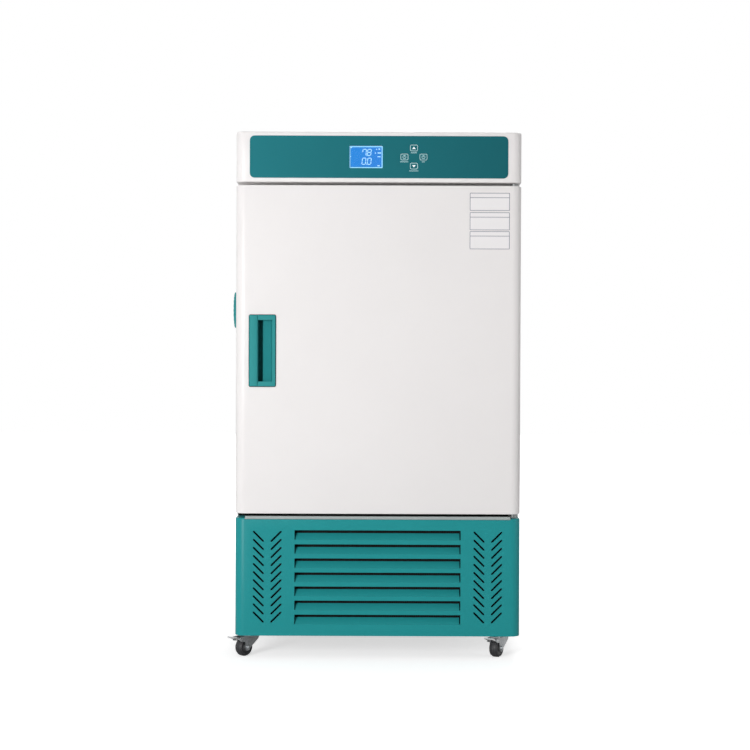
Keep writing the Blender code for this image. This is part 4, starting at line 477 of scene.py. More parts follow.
STAINLESS_FLAT = Finish(
    "stainless_baffle", "stainless", (0.60, 0.60, 0.59), 0.35, Grain.BRUSHED_ACROSS, 1.0,
    size=0.0007, depth=0.00002, smudge=0.03,
)
WIRE = Finish(
    "polished_wire", "stainless", (0.70, 0.70, 0.69), 0.16, Grain.CAST, 1.0, size=0.003,
    depth=0.00003, wear=0.2,
)
ZINC = Finish(
    "zinc_plate", "zinc_steel", (0.46, 0.48, 0.49), 0.34, Grain.SPANGLE, 1.0, size=0.004,
    tone=0.12, wear=0.4,
)
# The coils' fins, with painted shade in the gaps between them
FINS = StripedPaintedShade("fin_stock", "fin_metal", (0.55, 0.56, 0.56), 0.42, Grain.CAST, 0.7, size=0.004)
END_PLATE = Finish(
    "coil_end_plate", "fin_metal", (0.52, 0.53, 0.53), 0.40, Grain.SPANGLE, 0.9, size=0.004
)
# The strip behind the sill: its near-black colour is painted shade for the gap under the door
SEAL_PAINTED_SHADE = Finish(
    "black_seal_painted_shade", "black_plastic", (0.004, 0.004, 0.004), 0.8, Grain.CAST, size=0.002, shine=0.1
)
# The mesh pad behind the louvres: its near-black colour and dark lines are painted shade for the
# inside of the base
LOUVRE_PAD_PAINTED_SHADE = StripedPaintedShade(
    "louvre_mesh", "dark_metal", (0.012, 0.015, 0.015), 0.7, Grain.CAST, size=0.0015, shine=0.2,
    pitch=0.0038, gap=0.1,
)
HINGE_STEEL = Finish(
    "hinge_steel", "zinc_steel", (0.26, 0.27, 0.27), 0.42, Grain.CAST, 1.0, size=0.004, tone=0.08,
    wear=0.3,
)
INSECT_MESH = Finish("insect_mesh", "dark_metal", (0.03, 0.03, 0.03), 0.7, Grain.CAST, size=0.0015)
PEDAL_ZINC = Finish(
    "bright_zinc", "zinc_steel", (0.78, 0.79, 0.80), 0.22, Grain.CAST, 1.0, size=0.004, tone=0.05,
    wear=0.3,
)
COPPER = Finish(
    "drawn_copper", "copper_pipe", (0.62, 0.27, 0.16), 0.36, Grain.CAST, 1.0, size=0.006,
    tone=0.14, smudge=0.06, wear=0.3,
)
BLACK_MOULDING = Finish(
    "black_moulding", "black_plastic", (0.022, 0.022, 0.023), 0.45, Grain.MOULDED, size=0.0006,
    tone=0.08, wear=0.1,
)
BLACK_ENAMEL = Finish(
    "black_enamel", "black_paint", (0.018, 0.018, 0.019), 0.33, Grain.PEEL, size=0.0022, wear=0.15
)
GREY_MOULDING = Finish(
    "grey_moulding", "grey_plastic", (0.50, 0.53, 0.53), 0.45, Grain.MOULDED, size=0.0007
)
SILL = Finish(
    "sill_strip", "grey_plastic", (0.35, 0.39, 0.385), 0.45, Grain.BRUSHED_ACROSS, size=0.0009
)
PAN_PAINT = Finish(
    "pan_paint", "dark_metal", (0.20, 0.21, 0.22), 0.45, Grain.PEEL, 0.4, size=0.002, tone=0.06,
    wear=0.2,
)
HUB = Finish("wheel_hub", "wheel_rubber", (0.10, 0.10, 0.105), 0.42, Grain.MOULDED, size=0.0008)
# The wheel's tread, with painted shade in its grooves
TREAD = StripedPaintedShade(
    "grey_tread", "wheel_rubber", (0.030, 0.030, 0.033), 0.50, Grain.CAST, depth=0.0001, tone=0.12,
    smudge=0.08, wear=0.15, shine=0.35, pitch=0.0046, gap=0.35, fade=(-1.0, -0.5), wave=Wave.ON,
)
VINYL = Finish("soft_vinyl", "gasket_vinyl", (0.42, 0.43, 0.43), 0.55, Grain.CAST, size=0.003)
FOAM = Finish(
    "poured_foam", "foam", (0.62, 0.50, 0.27), 0.92, Grain.PORES, size=0.0022, depth=0.0004,
    tone=0.08,
)
GLASS = Finish(
    "tempered_glass", "door_glass", (0.60, 0.80, 0.74), 0.05, Grain.SMOOTH, coat=1.0, alpha=0.16
)
PRESSED_WHITE = Finish(
    "pressed_inner_panel", "inner_panel", (0.80, 0.79, 0.775), 0.36, Grain.MOULDED, size=0.001,
    depth=0.00002,
)
VINYL_LABEL = Finish(
    "blank_vinyl", "white_paint", (0.84, 0.82, 0.825), 0.36, Grain.SMOOTH, tone=0.01
)
GREY_INK = Finish("grey_rule", "grey_plastic", (0.11, 0.11, 0.18), 0.45, Grain.SMOOTH)

# The CAD nodes that take each finish; the door's handle and the wheels are dressed on their own
NODE_FINISHES: dict[Finish, tuple[str, ...]] = {
    WHITE_COAT: ("cabinet_shell", "head_cover", "rear_panel", "door_skin"),
    TEAL_COAT: ("base_front",),
    TEAL_MOULDING: ("port_plug",),
    FILM_PAINTED_SHADE: ("control_overlay", "up_key", "left_key", "right_key", "down_key"),
    LENS: ("display_window",),
    BACKLIGHT: ("display_module",),
    BOARD: ("control_board",),
    STAINLESS: ("chamber_liner", "left_rack", "right_rack", "heater", "temperature_probe"),
    STAINLESS_FLAT: ("air_baffle",),
    WIRE: ("shelf_1", "shelf_2"),
    FINS: ("evaporator", "condenser"),
    COPPER: ("discharge_line", "suction_line", "liquid_line"),
    BLACK_MOULDING: (
        "circulation_fan_housing", "circulation_fan", "power_inlet", "power_switch", "drip_tray",
        "glass_door_knob",
    ),
    BLACK_ENAMEL: ("compressor",),
    GREY_MOULDING: ("port_sleeve", "condenser_fan", "drain_tube"),
    SILL: ("base_sill",),
    PAN_PAINT: ("base_pan", "condenser_fan_housing"),
    HINGE_STEEL: ("upper_hinge", "lower_hinge"),
    ZINC: (
        "upper_glass_clip", "lower_glass_clip", *(f"castor_{name}_fork" for name in CORNERS)
    ),
    PEDAL_ZINC: ("castor_front_left_brake", "castor_front_right_brake"),
    VINYL: ("door_gasket",),
    FOAM: ("cabinet_insulation", "door_foam"),
    GLASS: ("glass_pane",),
    PRESSED_WHITE: ("door_panel",),
}


def rounding() -> bpy.types.NodeTree:
    """Builds the node group that welds a mesh and shades its round faces smooth.

    Returns:
        The group, which a Nodes modifier takes.
    """
    group = bpy.data.node_groups.get("Round faces")
    if group:
        return group
    group = bpy.data.node_groups.new("Round faces", "GeometryNodeTree")
    for way in ("INPUT", "OUTPUT"):
        group.interface.new_socket("Mesh", in_out=way, socket_type="NodeSocketGeometry")
    tree = Tree(group)
    weld = tree.add("GeometryNodeMergeByDistance", {"Distance": WELD})
    bare = tree.add("GeometryNodeSetMeshNormal", {"Remove Custom": True})
    over = tree.add("FunctionNodeCompare", {"B": SMOOTH_LIMIT}, operation="GREATER_THAN")
    tree.join(tree.add("NodeGroupInput"), 0, weld, "Geometry")
    tree.join(weld, 0, bare, "Mesh")
    tree.join(tree.add("GeometryNodeInputMeshEdgeAngle"), "Unsigned Angle", over, "A")
    tree.join(over, "Result", bare, "Edge Sharpness")
    tree.join(bare, 0, tree.add("NodeGroupOutput"), 0)
    return group


def dress(name: str, finish: Finish) -> None:
    """Gives one CAD node its finish, and smooth shading on its round faces.

    Args:
        name: the node.
        finish: its finish.
    """
    node = frame["nodes"][name]
    node.data.materials.clear()
    node.data.materials.append(finish.material())
    node.modifiers.new("Round faces", "NODES").node_group = rounding()
    log.info("%s on %s", finish.name, name)


def rectangle(
    left: float, right: float, low: float, high: float, radius: float = 0.0
) -> list[tuple[float, float]]:
    """Draws a rectangle, with round corners if a radius is given.

    Args:
        left: lowest u.
        right: highest u.
        low: lowest v.
        high: highest v.
        radius: the corners' radius.

    Returns:
        The outline, anticlockwise.
    """
    if radius <= 0:
        return [(left, low), (right, low), (right, high), (left, high)]
    outline = []
    centres = (
        (left + radius, low + radius, 180), (right - radius, low + radius, 270),
        (right - radius, high - radius, 0), (left + radius, high - radius, 90),
    )
    for u, v, start in centres:
        for step in range(CORNER_STEPS + 1):
            turn = math.radians(start + 90 * step / CORNER_STEPS)
            outline.append((u + radius * math.cos(turn), v + radius * math.sin(turn)))
    return outline


def centred(
    u: float, v: float, half_u: float, half_v: float, radius: float = 0.0
) -> list[tuple[float, float]]:
    """Draws a rectangle round its middle, from half its width and half its height."""
    return rectangle(u - half_u, u + half_u, v - half_v, v + half_v, radius)


def circle(u: float, v: float, radius: float, sides: int = 24) -> list[tuple[float, float]]:
    """Draws a circle round its centre, anticlockwise, from so many straight pieces."""
    turns = [2 * math.pi * step / sides for step in range(sides)]
    return [(u + radius * math.cos(turn), v + radius * math.sin(turn)) for turn in turns]


class Shape:
    """A mesh under construction, in the frame's own coordinates."""

    def __init__(self) -> None:
        """Starts with nothing."""
        self.mesh = bmesh.new()

    def prism(
        self, outline: Outline, facing: Facing, low: float, high: float,
        hole: Outline | None = None,
    ) -> "Shape":
        """Adds a closed extrusion.

        Args:
            outline: the flat outline.
            facing: the way it is pushed out.
            low: where it starts.
            high: where it ends.
            hole: the outline of a hole through it, of equally many points.

        Returns:
            The shape itself, so that calls can be chained.
        """
        walls = [(outline, low), (outline, high)]
        if hole:
            walls += [(hole, high), (hole, low)]
        rings = [
            [self.mesh.verts.new(facing.point(u, v, along)) for u, v in flat]
            for flat, along in walls
        ]
        return self._skin(rings, bool(hole))

    def lathe(self, profile: Outline, centre: Vector, axis: Vector, sides: int) -> "Shape":
        """Adds a body of revolution.

        Args:
            profile: (radius, place along the axis) pairs. Either both ends lie on the axis or
                neither does, and then the last joins the first.
            centre: the axis's zero point.
            axis: its direction.
            sides: how many faces go round.

        Returns:
            The shape itself.
        """
        axis = axis.normalized()
        across = axis.orthogonal().normalized()
        beyond = axis.cross(across)
        rings = [
            self._ring(centre + axis * along, across, beyond, radius, sides)
            for radius, along in profile
        ]
        return self._skin(rings, len(rings[0]) > 1)

    def pipe(
        self, path: Sequence[Vector], radius: float, sides: int, closed: bool = False
    ) -> "Shape":
        """Adds a round rod along a path.

        Args:
            path: the points that its middle follows.
            radius: its radius.
            sides: how many faces go round.
            closed: whether the last point joins the first.

        Returns:
            The shape itself.
        """
        count = len(path)
        rings = []
        across = None
        for number, point in enumerate(path):
            after = path[(number + 1) % count] if closed or number + 1 < count else point
            before = path[number - 1] if closed or number else point
            along = (after - before).normalized()
            if across is None:
                across = along.orthogonal().normalized()
            across = (across - along * across.dot(along)).normalized()
            rings.append(self._ring(point, across, along.cross(across), radius, sides))
        return self._skin(rings, closed)

    def place(self, name: str, finish: Finish, body: str = "cabinet", soften: float = 0.0) -> None:
        """Turns the shape into a piece that rides on a body.

        Args:
            name: the piece's name.
            finish: its finish.
            body: the CAD body that carries it.
            soften: the width of a bevel on its sharp edges.
        """
        bmesh.ops.recalc_face_normals(self.mesh, faces=self.mesh.faces)
        data = bpy.data.meshes.new(name)
        self.mesh.to_mesh(data)
        self.mesh.free()
        data.materials.append(finish.material())
        piece = bpy.data.objects.new(name, data)
        bpy.context.scene.collection.objects.link(piece)
        if soften:
            bevel = piece.modifiers.new("Soften", "BEVEL")
            bevel.width = soften
            bevel.segments = 2
            bevel.limit_method = "ANGLE"
            bevel.angle_limit = BEVEL_LIMIT
        piece.modifiers.new("Round faces", "NODES").node_group = rounding()
        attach(piece, body)
        log.info("%s on %s", name, body)

    def _ring(
        self, foot: Vector, across: Vector, beyond: Vector, radius: float, sides: int
    ) -> Ring:
        """Adds the points of a circle, or its middle alone if it has no width.

        Args:
            foot: its middle.
            across: the direction from there to its first point.
            beyond: the direction to the point a quarter further on.
            radius: its radius.
            sides: how many points it has.

        Returns:
            The points.
        """
        if radius < POINT:
            return [self.mesh.verts.new(foot)]
        turns = [2 * math.pi * step / sides for step in range(sides)]
        return [
            self.mesh.verts.new(foot + radius * (across * math.cos(t) + beyond * math.sin(t)))
            for t in turns
        ]

    def _skin(self, rings: list[Ring], closed: bool) -> "Shape":
        """Joins rings, of which some may be single points, into a closed surface.

        Args:
            rings: the rings in their order.
            closed: whether the last joins the first. If not, a face fills each end.

        Returns:
            The shape itself.
        """
        following = rings[1:] + rings[:1] if closed else rings[1:]
        for first, second in zip(rings, following):
            count = max(len(first), len(second))
            for number in range(count):
                after = (number + 1) % count
                corners = (
                    first[number % len(first)], first[after % len(first)],
                    second[after % len(second)], second[number % len(second)],
                )
                self.mesh.faces.new(list(dict.fromkeys(corners)))
        if not closed:
            for end in (rings[0], rings[-1]):
                if len(end) > 1:
                    self.mesh.faces.new(end)
        return self


@dataclass(frozen=True)
class ScrewHead:
    """A domed screw head with a round driver recess."""

    radius: float
    height: float
    # Shares of the radius and of the height, from the recess to the rim
    dome: Outline = ((0.0, 0.45), (0.30, 0.45), (0.38, 1.0), (0.72, 0.86), (1.0, 0.30))

    def add(self, shape: Shape, seat: Vector, out: Vector) -> None:
        """Adds one head.

        Args:
            shape: the mesh that takes it.
            seat: the middle of the face that it lies on.
            out: the direction it stands out in.
        """
        profile = [(self.radius * wide, self.height * tall) for wide, tall in self.dome]
        shape.lathe([*profile, (self.radius, -SEAT), (0.0, -SEAT)], seat, out, sides=16)

    def fasten(self, name: str, finish: Finish, seats: Iterable[Vector], out: Vector) -> None:
        """Makes one piece of equal heads on the cabinet.

        Args:
            name: the piece's name.
            finish: its finish.
            seats: where each head lies.
            out: the direction they stand out in.
        """
        shape = Shape()
        for seat in seats:
            self.add(shape, seat, out)
        shape.place(name, finish)


@dataclass(frozen=True)
class HexHead(ScrewHead):
    """A hexagonal bolt head on its washer. Its radius goes to its corners."""

    # Shares of the radius and of the height, from the washer to the top
    dome: Outline = ((0.0, 0.25), (1.0, 0.25), (1.0, 0.85), (0.85, 1.0), (0.0, 1.0))
    washer: float = 1.2

    def add(self, shape: Shape, seat: Vector, out: Vector) -> None:
        """Adds one head.

        Args:
            shape: the mesh that takes it.
            seat: the middle of the face that it lies on.
            out: the direction it stands out in.
        """
        profile = [(self.radius * wide, self.height * tall) for wide, tall in self.dome]
        rim, top = self.radius * self.washer, profile[0][1]
        shape.lathe([(0.0, -SEAT), (rim, -SEAT), (rim, top), (0.0, top)], seat, out, sides=20)
        shape.lathe(profile, seat, out, sides=6)


def spaced(
    box: tuple[Vector, Vector], facing: Facing, shares: Shares, along: float
) -> list[Vector]:
    """Spaces points over a side of a box.

    Args:
        box: its lowest and its highest corner.
        facing: the way the side faces.
        shares: where the columns and the rows lie.
        along: where the side lies.

    Returns:
        The points, column by column.
    """
    low, high = box
    left, right = (low.x, high.x) if facing is Facing.FRONT else (low.y, high.y)
    return [
        facing.point(left + (right - left) * u, low.z + (high.z - low.z) * v, along)
        for u in shares[0] for v in shares[1]
    ]


def hinge(name: str) -> tuple[Vector, Vector]:
    """Looks up a joint.

    Args:
        name: the joint's name.

    Returns:
        A point on its axis, and the axis's direction.
    """
    joint = next(joint for joint in frame["joints"] if joint["name"] == name)
    return Vector(joint["pos_m"]), Vector(joint["axis"]).normalized()


# The segments that each digit lights, and how many dashes stand below each key
LIT = {"0": "abcdef", "7": "abcf", "8": "abcdefg"}
DASHES = {"up_key": 6, "left_key": 8, "right_key": 3, "down_key": 9}


@dataclass
class ControlHead:
    """The prints on the overlay, the display's picture and the keys' symbols."""

    ink: float = 0.00012
    frame_gap: float = 0.0003
    frame_width: float = 0.0021
    digit_height: float = 0.0128
    digit_width: float = 0.0072
    stroke: float = 0.0016
    slant: float = 0.12
    # How much shorter each end of a level and of an upright segment is, in strokes
    shortened: Span = (0.55, 0.35)
    # Each digit, and its left edge and its middle as shares of the display
    digits: tuple[tuple[str, float, float], ...] = (
        ("7", 0.400, 0.715), ("8", 0.545, 0.715), ("0", 0.385, 0.315), ("0", 0.545, 0.315),
    )
    point_radius: float = 0.0008
    point_shift: float = 0.0086
    # Shares of the display, length and height of each small mark
    marks: tuple[tuple[float, float, float, float], ...] = (
        (0.90, 0.865, 0.0034, 0.0026), (0.82, 0.855, 0.0022, 0.0018), (0.78, 0.685, 0.0020, 0.0024),
        (0.90, 0.690, 0.0070, 0.0022), (0.89, 0.520, 0.0062, 0.0018), (0.88, 0.110, 0.0050, 0.0020),
        (0.055, 0.935, 0.0030, 0.0020), (0.035, 0.520, 0.0018, 0.0018),
    )
    key_half: Span = (0.0078, 0.0064)
    key_corner: float = 0.0030
    key_rim: float = 0.0008
    arrow: Outline = (
        (-0.0036, -0.0022), (-0.0012, -0.0022), (0.0, -0.0012), (0.0012, -0.0022),
        (0.0036, -0.0022), (0.0, 0.0028),
    )
    dial_radii: Span = (0.0035, 0.0028)
    dial_hand: Span = (0.0004, 0.0024)
    dash_pitch: float = 0.0021
    dash_length: float = 0.0015
    dash_drop: Span = (0.0024, 0.0012)

    def build(self) -> None:
        """Makes the display's picture and every key's print."""
        self._display()
        for name, dashes in DASHES.items():
            self._key(name, dashes)

    def _display(self) -> None:
        """Draws the pale edge, the digits and the small indicators between lens and backlight."""
        low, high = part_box("display_window")
        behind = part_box("display_module")[0].y
        depth = (Facing.FRONT, behind - self.ink, behind - self.ink / 3)
        gap, edge = self.frame_gap, self.frame_width
        outer = rectangle(low.x + gap, high.x - gap, low.z + gap, high.z - gap)
        inner = rectangle(low.x + edge, high.x - edge, low.z + edge, high.z - edge)
        Shape().prism(outer, *depth, hole=inner).place("display_edge_print", FRAME_INK)
        width, height = high.x - low.x, high.z - low.z
        picture = Shape()
        for digit, across, up in self.digits:
            for bar in self._segments(digit, low.x + width * across, low.z + height * up):
                picture.prism(bar, *depth)
        for _, across, up in self.digits[::2]:
            u = low.x + width * across + self.point_shift
            v = low.z + height * up - self.digit_height / 2
            picture.prism(circle(u, v, self.point_radius, sides=10), *depth)
        for across, up, length, thick in self.marks:
            u, v = low.x + width * across, low.z + height * up
            picture.prism(centred(u, v, length / 2, thick / 2), *depth)
        picture.place("display_segments", SEGMENTS)

    def _segments(self, digit: str, left: float, middle: float) -> list[Outline]:
        """Draws the lit segments of one digit.

        Args:
            digit: which digit.
            left: its left edge.
            middle: its middle height.

        Returns:
            The outline of each segment.
        """
        half, wide, thick = self.digit_height / 2, self.digit_width, self.stroke / 2
        inset, shorter = (self.stroke * share for share in self.shortened)
        bars = []
        for letter in LIT[digit]:
            if letter in "agd":
                v = {"a": half, "g": 0, "d": -half}[letter]
                bar = rectangle(inset, wide - inset, v - thick, v + thick)
            else:
                u = 0 if letter in "ef" else wide
                v = half / 2 if letter in "bf" else -half / 2
                bar = centred(u, v, thick, half / 2 - shorter)
            bars.append([(left + a + b * self.slant, middle + b) for a, b in bar])
        return bars

    def _key(self, name: str, dashes: int) -> None:
        """Prints a key's outline and symbol on its face, and a row of dashes below it.

        Args:
            name: the key's node, which is also its body.
            dashes: how many dashes the row has.
        """
        low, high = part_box(name)
        u, v = (low.x + high.x) / 2, (low.z + high.z) / 2
        depth = (Facing.FRONT, low.y - self.ink, low.y + SEAT)
        (half_u, half_v), corner, rim = self.key_half, self.key_corner, self.key_rim
        outer = centred(u, v, half_u, half_v, corner)
        inner = centred(u, v, half_u - rim, half_v - rim, corner - rim)
        Shape().prism(outer, *depth, hole=inner).place(f"{name}_outline", PALE_INK_PAINTED_GLOW, name)
        if name in ("up_key", "down_key"):
            way = 1 if name == "up_key" else -1
            arrow = [(u + across, v + way * up) for across, up in self.arrow]
            Shape().prism(arrow, *depth).place(f"{name}_symbol", WHITE_INK_PAINTED_GLOW, name)
        else:
            rim_circle, bore = (circle(u, v, radius) for radius in self.dial_radii)
            wide, tall = self.dial_hand
            dial = Shape().prism(rim_circle, *depth, hole=bore)
            dial.prism(rectangle(u - wide, u + wide, v, v + tall), *depth)
            dial.place(f"{name}_symbol", PALE_INK_PAINTED_GLOW, name)
        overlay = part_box("control_overlay")[0].y
        bottom, top = (low.z - drop for drop in self.dash_drop)
        row = Shape()
        for number in range(dashes):
            left = u + (number - dashes / 2) * self.dash_pitch
            dash = rectangle(left, left + self.dash_length, bottom, top)
            row.prism(dash, Facing.FRONT, overlay - self.ink, overlay + SEAT)
        row.place(f"{name}_rule", PALE_INK_PAINTED_GLOW)


@dataclass
class FrontDoor:
    """What the door carries besides its CAD solids, and its handle's painted shade."""

    label_left: float = 0.1875
    label_right: float = 0.2697
    label_heights: tuple[Span, ...] = ((0.9267, 0.9633), (0.8868, 0.9232), (0.8475, 0.8843))
    label_corners: Span = (0.0015, 0.0007)
    label_rule: float = 0.0010
    label_header: float = 0.0098
    film: float = 0.00015
    print_share: float = 1.6
    # Where the handle's painted recess shade starts and where it is full, counted back from the
    # handle's front
    recess: Span = (0.0030, 0.0090)
    # The dark band round the handle's frame, which is painted shadow: its width, and its outer and
    # inner corner radii
    shadow_band: float = 0.0012
    shadow_band_corners: Span = (0.0036, 0.0030)

    def build(self, offset: Vector) -> None:
        """Dresses the handle and lays the three blank vinyl fields on the door's face.

        Args:
            offset: the cabinet's own origin in the frame.
        """
        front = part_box("door_skin")[0].y
        self._handle(front)
        left, right = self.label_left + offset.x, self.label_right + offset.x
        face, rule = front - self.film, self.label_rule
        depth = (Facing.FRONT, front - self.film * self.print_share, face + SEAT)
        corner, inner_corner = self.label_corners
        for number, (low, high) in enumerate(self.label_heights, 1):
            label = rectangle(left, right, low, high, corner)
            Shape().prism(label, Facing.FRONT, face, front + SEAT).place(
                f"blank_vinyl_{number}", VINYL_LABEL, "door"
            )
            inside = (left + rule, right - rule)
            cross = high - self.label_header
            lines = Shape().prism(
                label, *depth, hole=rectangle(*inside, low + rule, high - rule, inner_corner)
            )
            lines.prism(rectangle(*inside, cross - rule / 2, cross + rule / 2), *depth)
            lines.place(f"blank_vinyl_rules_{number}", GREY_INK, "door")

    def _handle(self, front: float) -> None:
        """Paints shade on the handle, darker towards the bottom of its recess, and adds a dark band
        round its frame as painted shadow.

        Args:
            front: the door's face.
        """
        low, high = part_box("door_handle")
        start, end = self.recess
        dress("door_handle", replace(HANDLE_MOULDING_PAINTED_SHADE, left=low.y + start, right=low.y + end))
        outer, inner = (
            rectangle(low.x - shadow_band, high.x + shadow_band, low.z - shadow_band, high.z + shadow_band, corner)
            for shadow_band, corner in zip((self.shadow_band, -self.shadow_band), self.shadow_band_corners)
        )
        # The band of painted shadow round the handle's frame
        Shape().prism(outer, Facing.FRONT, front - self.shadow_band, front + SEAT, hole=inner).place(
            "door_handle_painted_shadow", HANDLE_PAINTED_SHADOW, "door"
        )


@dataclass
class Castor:
    """One castor's small pieces: hub discs, ball race, axle nuts and the pedal's ribs."""

    name: str
    braked: bool
    # (radius, place) pairs: of the hub from the wheel's side, of the race from the fork's top
    hub: Outline = (
        (0.0034, -0.0026), (0.0034, -0.0004), (0.0066, -0.0004), (0.0086, -0.0026),
        (0.0120, -0.0006), (0.0128, -0.0001), (0.0128, -0.0020),
    )
    race: Outline = (
        (0.0164, -0.0034), (0.0176, -0.0028), (0.0176, -0.0014), (0.0164, -0.0008),
        (0.0150, -0.0008), (0.0150, -0.0034),
    )
    wheel_half: float = 0.00875
    nut: HexHead = HexHead(0.0032, 0.0016)
    nut_seat: float = 0.01375
    ribs: int = 4
    rib_start: float = 0.0165
    rib_pitch: float = 0.0017
    rib_half: float = 0.0085
    rib_radius: float = 0.0005
    tread_start: float = 0.016
    tread_height: float = 0.0058
    tread_slope: float = 0.23

    def build(self) -> None:
        """Dresses the wheel and makes the pieces of this castor."""
        fork = f"castor_{self.name}"
        centre, axis = hinge(f"{self.name}_roll")
        tread = replace(
            TREAD, name=f"grey_tread_{self.name}", centre=tuple(centre), axis=tuple(axis)
        )
        dress(f"castor_{self.name}_wheel", tread)
        profile = [(radius, self.wheel_half + place) for radius, place in self.hub]
        hub, nuts = Shape(), Shape()
        for out in (axis, -axis):
            hub.lathe(profile, centre, out, sides=28)
            self.nut.add(nuts, centre + out * self.nut_seat, out)
        hub.place(f"{self.name}_hub", HUB, f"wheel_{self.name}")
        swivel = hinge(f"{self.name}_swivel")[0]
        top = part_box(f"castor_{self.name}_fork")[1].z
        race = Shape().lathe(self.race, Vector((swivel.x, swivel.y, top)), UP, sides=28)
        race.place(f"{self.name}_race", ZINC, fork)
        nuts.place(f"{self.name}_axle_nuts", ZINC, fork)
        if self.braked:
            self._pedal_ribs()

    def _pedal_ribs(self) -> None:
        """Adds ribs across the brake pedal's tread."""
        pivot, axis = hinge(f"{self.name}_brake_press")
        out = Vector((axis.y, -axis.x, 0.0))
        ribs = Shape()
        for number in range(self.ribs):
            reach = self.rib_start + number * self.rib_pitch
            height = self.tread_height + (reach - self.tread_start) * self.tread_slope
            middle = pivot + out * reach + UP * height
            ends = [middle - axis * self.rib_half, middle + axis * self.rib_half]
            ribs.pipe(ends, self.rib_radius, sides=6)
        ribs.place(f"{self.name}_pedal_ribs", PEDAL_ZINC, f"brake_{self.name}")


@dataclass
class Fasteners:
    """Bolts under the castor plates, and the screws of the rear panel and the racks."""

    bolt: HexHead = HexHead(0.0030, 0.0024)
    bolt_spread: float = 0.0165
    plate_bottom: float = 0.0458
    panel_screw: ScrewHead = ScrewHead(0.0036, 0.0016)
    panel_seats: Shares = ((0.012, 0.5, 0.988), (0.06, 0.94))
    rack_screw: ScrewHead = ScrewHead(0.0042, 0.0020)
    rack_seats: Shares = ((0.09, 0.91), (0.04, 0.96))
    rack_sheet: float = 0.0012

    def build(self) -> None:
        """Makes the bolts and screws."""
        plate = max(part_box("base_pan")[0].z, self.plate_bottom)
        sides = (-self.bolt_spread, self.bolt_spread)
        swivels = [hinge(f"{name}_swivel")[0] for name in CORNERS]
        seats = [
            Vector((swivel.x + x, swivel.y + y, plate))
            for swivel in swivels for x in sides for y in sides
        ]
        self.bolt.fasten("castor_plate_bolts", ZINC, seats, -UP)

        low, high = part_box("rear_panel")
        seats = spaced((low, high), Facing.FRONT, self.panel_seats, high.y)
        self.panel_screw.fasten("rear_panel_screws", ZINC, seats, Vector((0, 1, 0)))

        for name, side in (("left_rack", 1), ("right_rack", -1)):
            low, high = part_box(name)
            wall = low.x + self.rack_sheet if side > 0 else high.x - self.rack_sheet
            seats = spaced((low, high), Facing.SIDE, self.rack_seats, wall)
            self.rack_screw.fasten(f"{name}_screws", WIRE, seats, Vector((side, 0, 0)))


@dataclass
class FanGuard:
    """A round wire guard of concentric rings on crossed stays."""

    name: str
    centre: Vector
    radius: float = 0.058
    rings: int = 6
    wire: float = 0.0011
    # The stays' length in radii, and how far behind the rings they lie in wires
    stay_reach: float = 1.12
    stay_gap: float = 1.6

    def build(self) -> None:
        """Makes the guard as one piece on the cabinet."""
        guard = Shape()
        for number in range(1, self.rings + 1):
            ring = circle(0, 0, self.radius * number / self.rings, sides=48)
            path = [self.centre + Facing.FRONT.point(u, v, 0.0) for u, v in ring]
            guard.pipe(path, self.wire, sides=6, closed=True)
        middle = self.centre + Vector((0, self.stay_gap * self.wire, 0))
        for turn in (math.radians(45), math.radians(135)):
            arm = Facing.FRONT.point(math.cos(turn), math.sin(turn), 0.0)
            arm *= self.radius * self.stay_reach
            guard.pipe([middle - arm, middle + arm], self.wire, sides=6)
        guard.place(self.name, WIRE)


@dataclass
class ChamberFittings:
    """The chamber's small fittings: the probe's grommet and the baffle's screws."""

    baffle: float
    grommet_radius: float = 0.0085
    grommet_sink: float = 0.0005
    grommet_lip: float = 0.0016
    # How far the grommet stands out at its rim, at the probe and at its highest
    grommet_heights: Triple = (0.0022, 0.0030, 0.0038)
    screw: ScrewHead = ScrewHead(0.0038, 0.0018)
    screw_seats: Shares = ((0.03, 0.97), (0.06, 0.5, 0.94))

    def build(self) -> None:
        """Makes the grommet and the screws."""
        low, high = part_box("temperature_probe")
        seat = Vector(((low.x + high.x) / 2, self.baffle, (low.z + high.z) / 2))
        inner, outer, sink = (high.z - low.z) / 4, self.grommet_radius, self.grommet_sink
        rim, edge, top = self.grommet_heights
        profile = [
            (inner, sink), (inner, -edge), (inner + self.grommet_lip, -top),
            (outer, -rim), (outer, sink),
        ]
        ring = Shape().lathe(profile, seat, Vector((0, 1, 0)), sides=24)
        ring.place("probe_grommet", BLACK_MOULDING)

        low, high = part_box("air_baffle")
        seats = spaced((low, high), Facing.FRONT, self.screw_seats, low.y)
        self.screw.fasten("air_baffle_screws", WIRE, seats, Vector((0, -1, 0)))


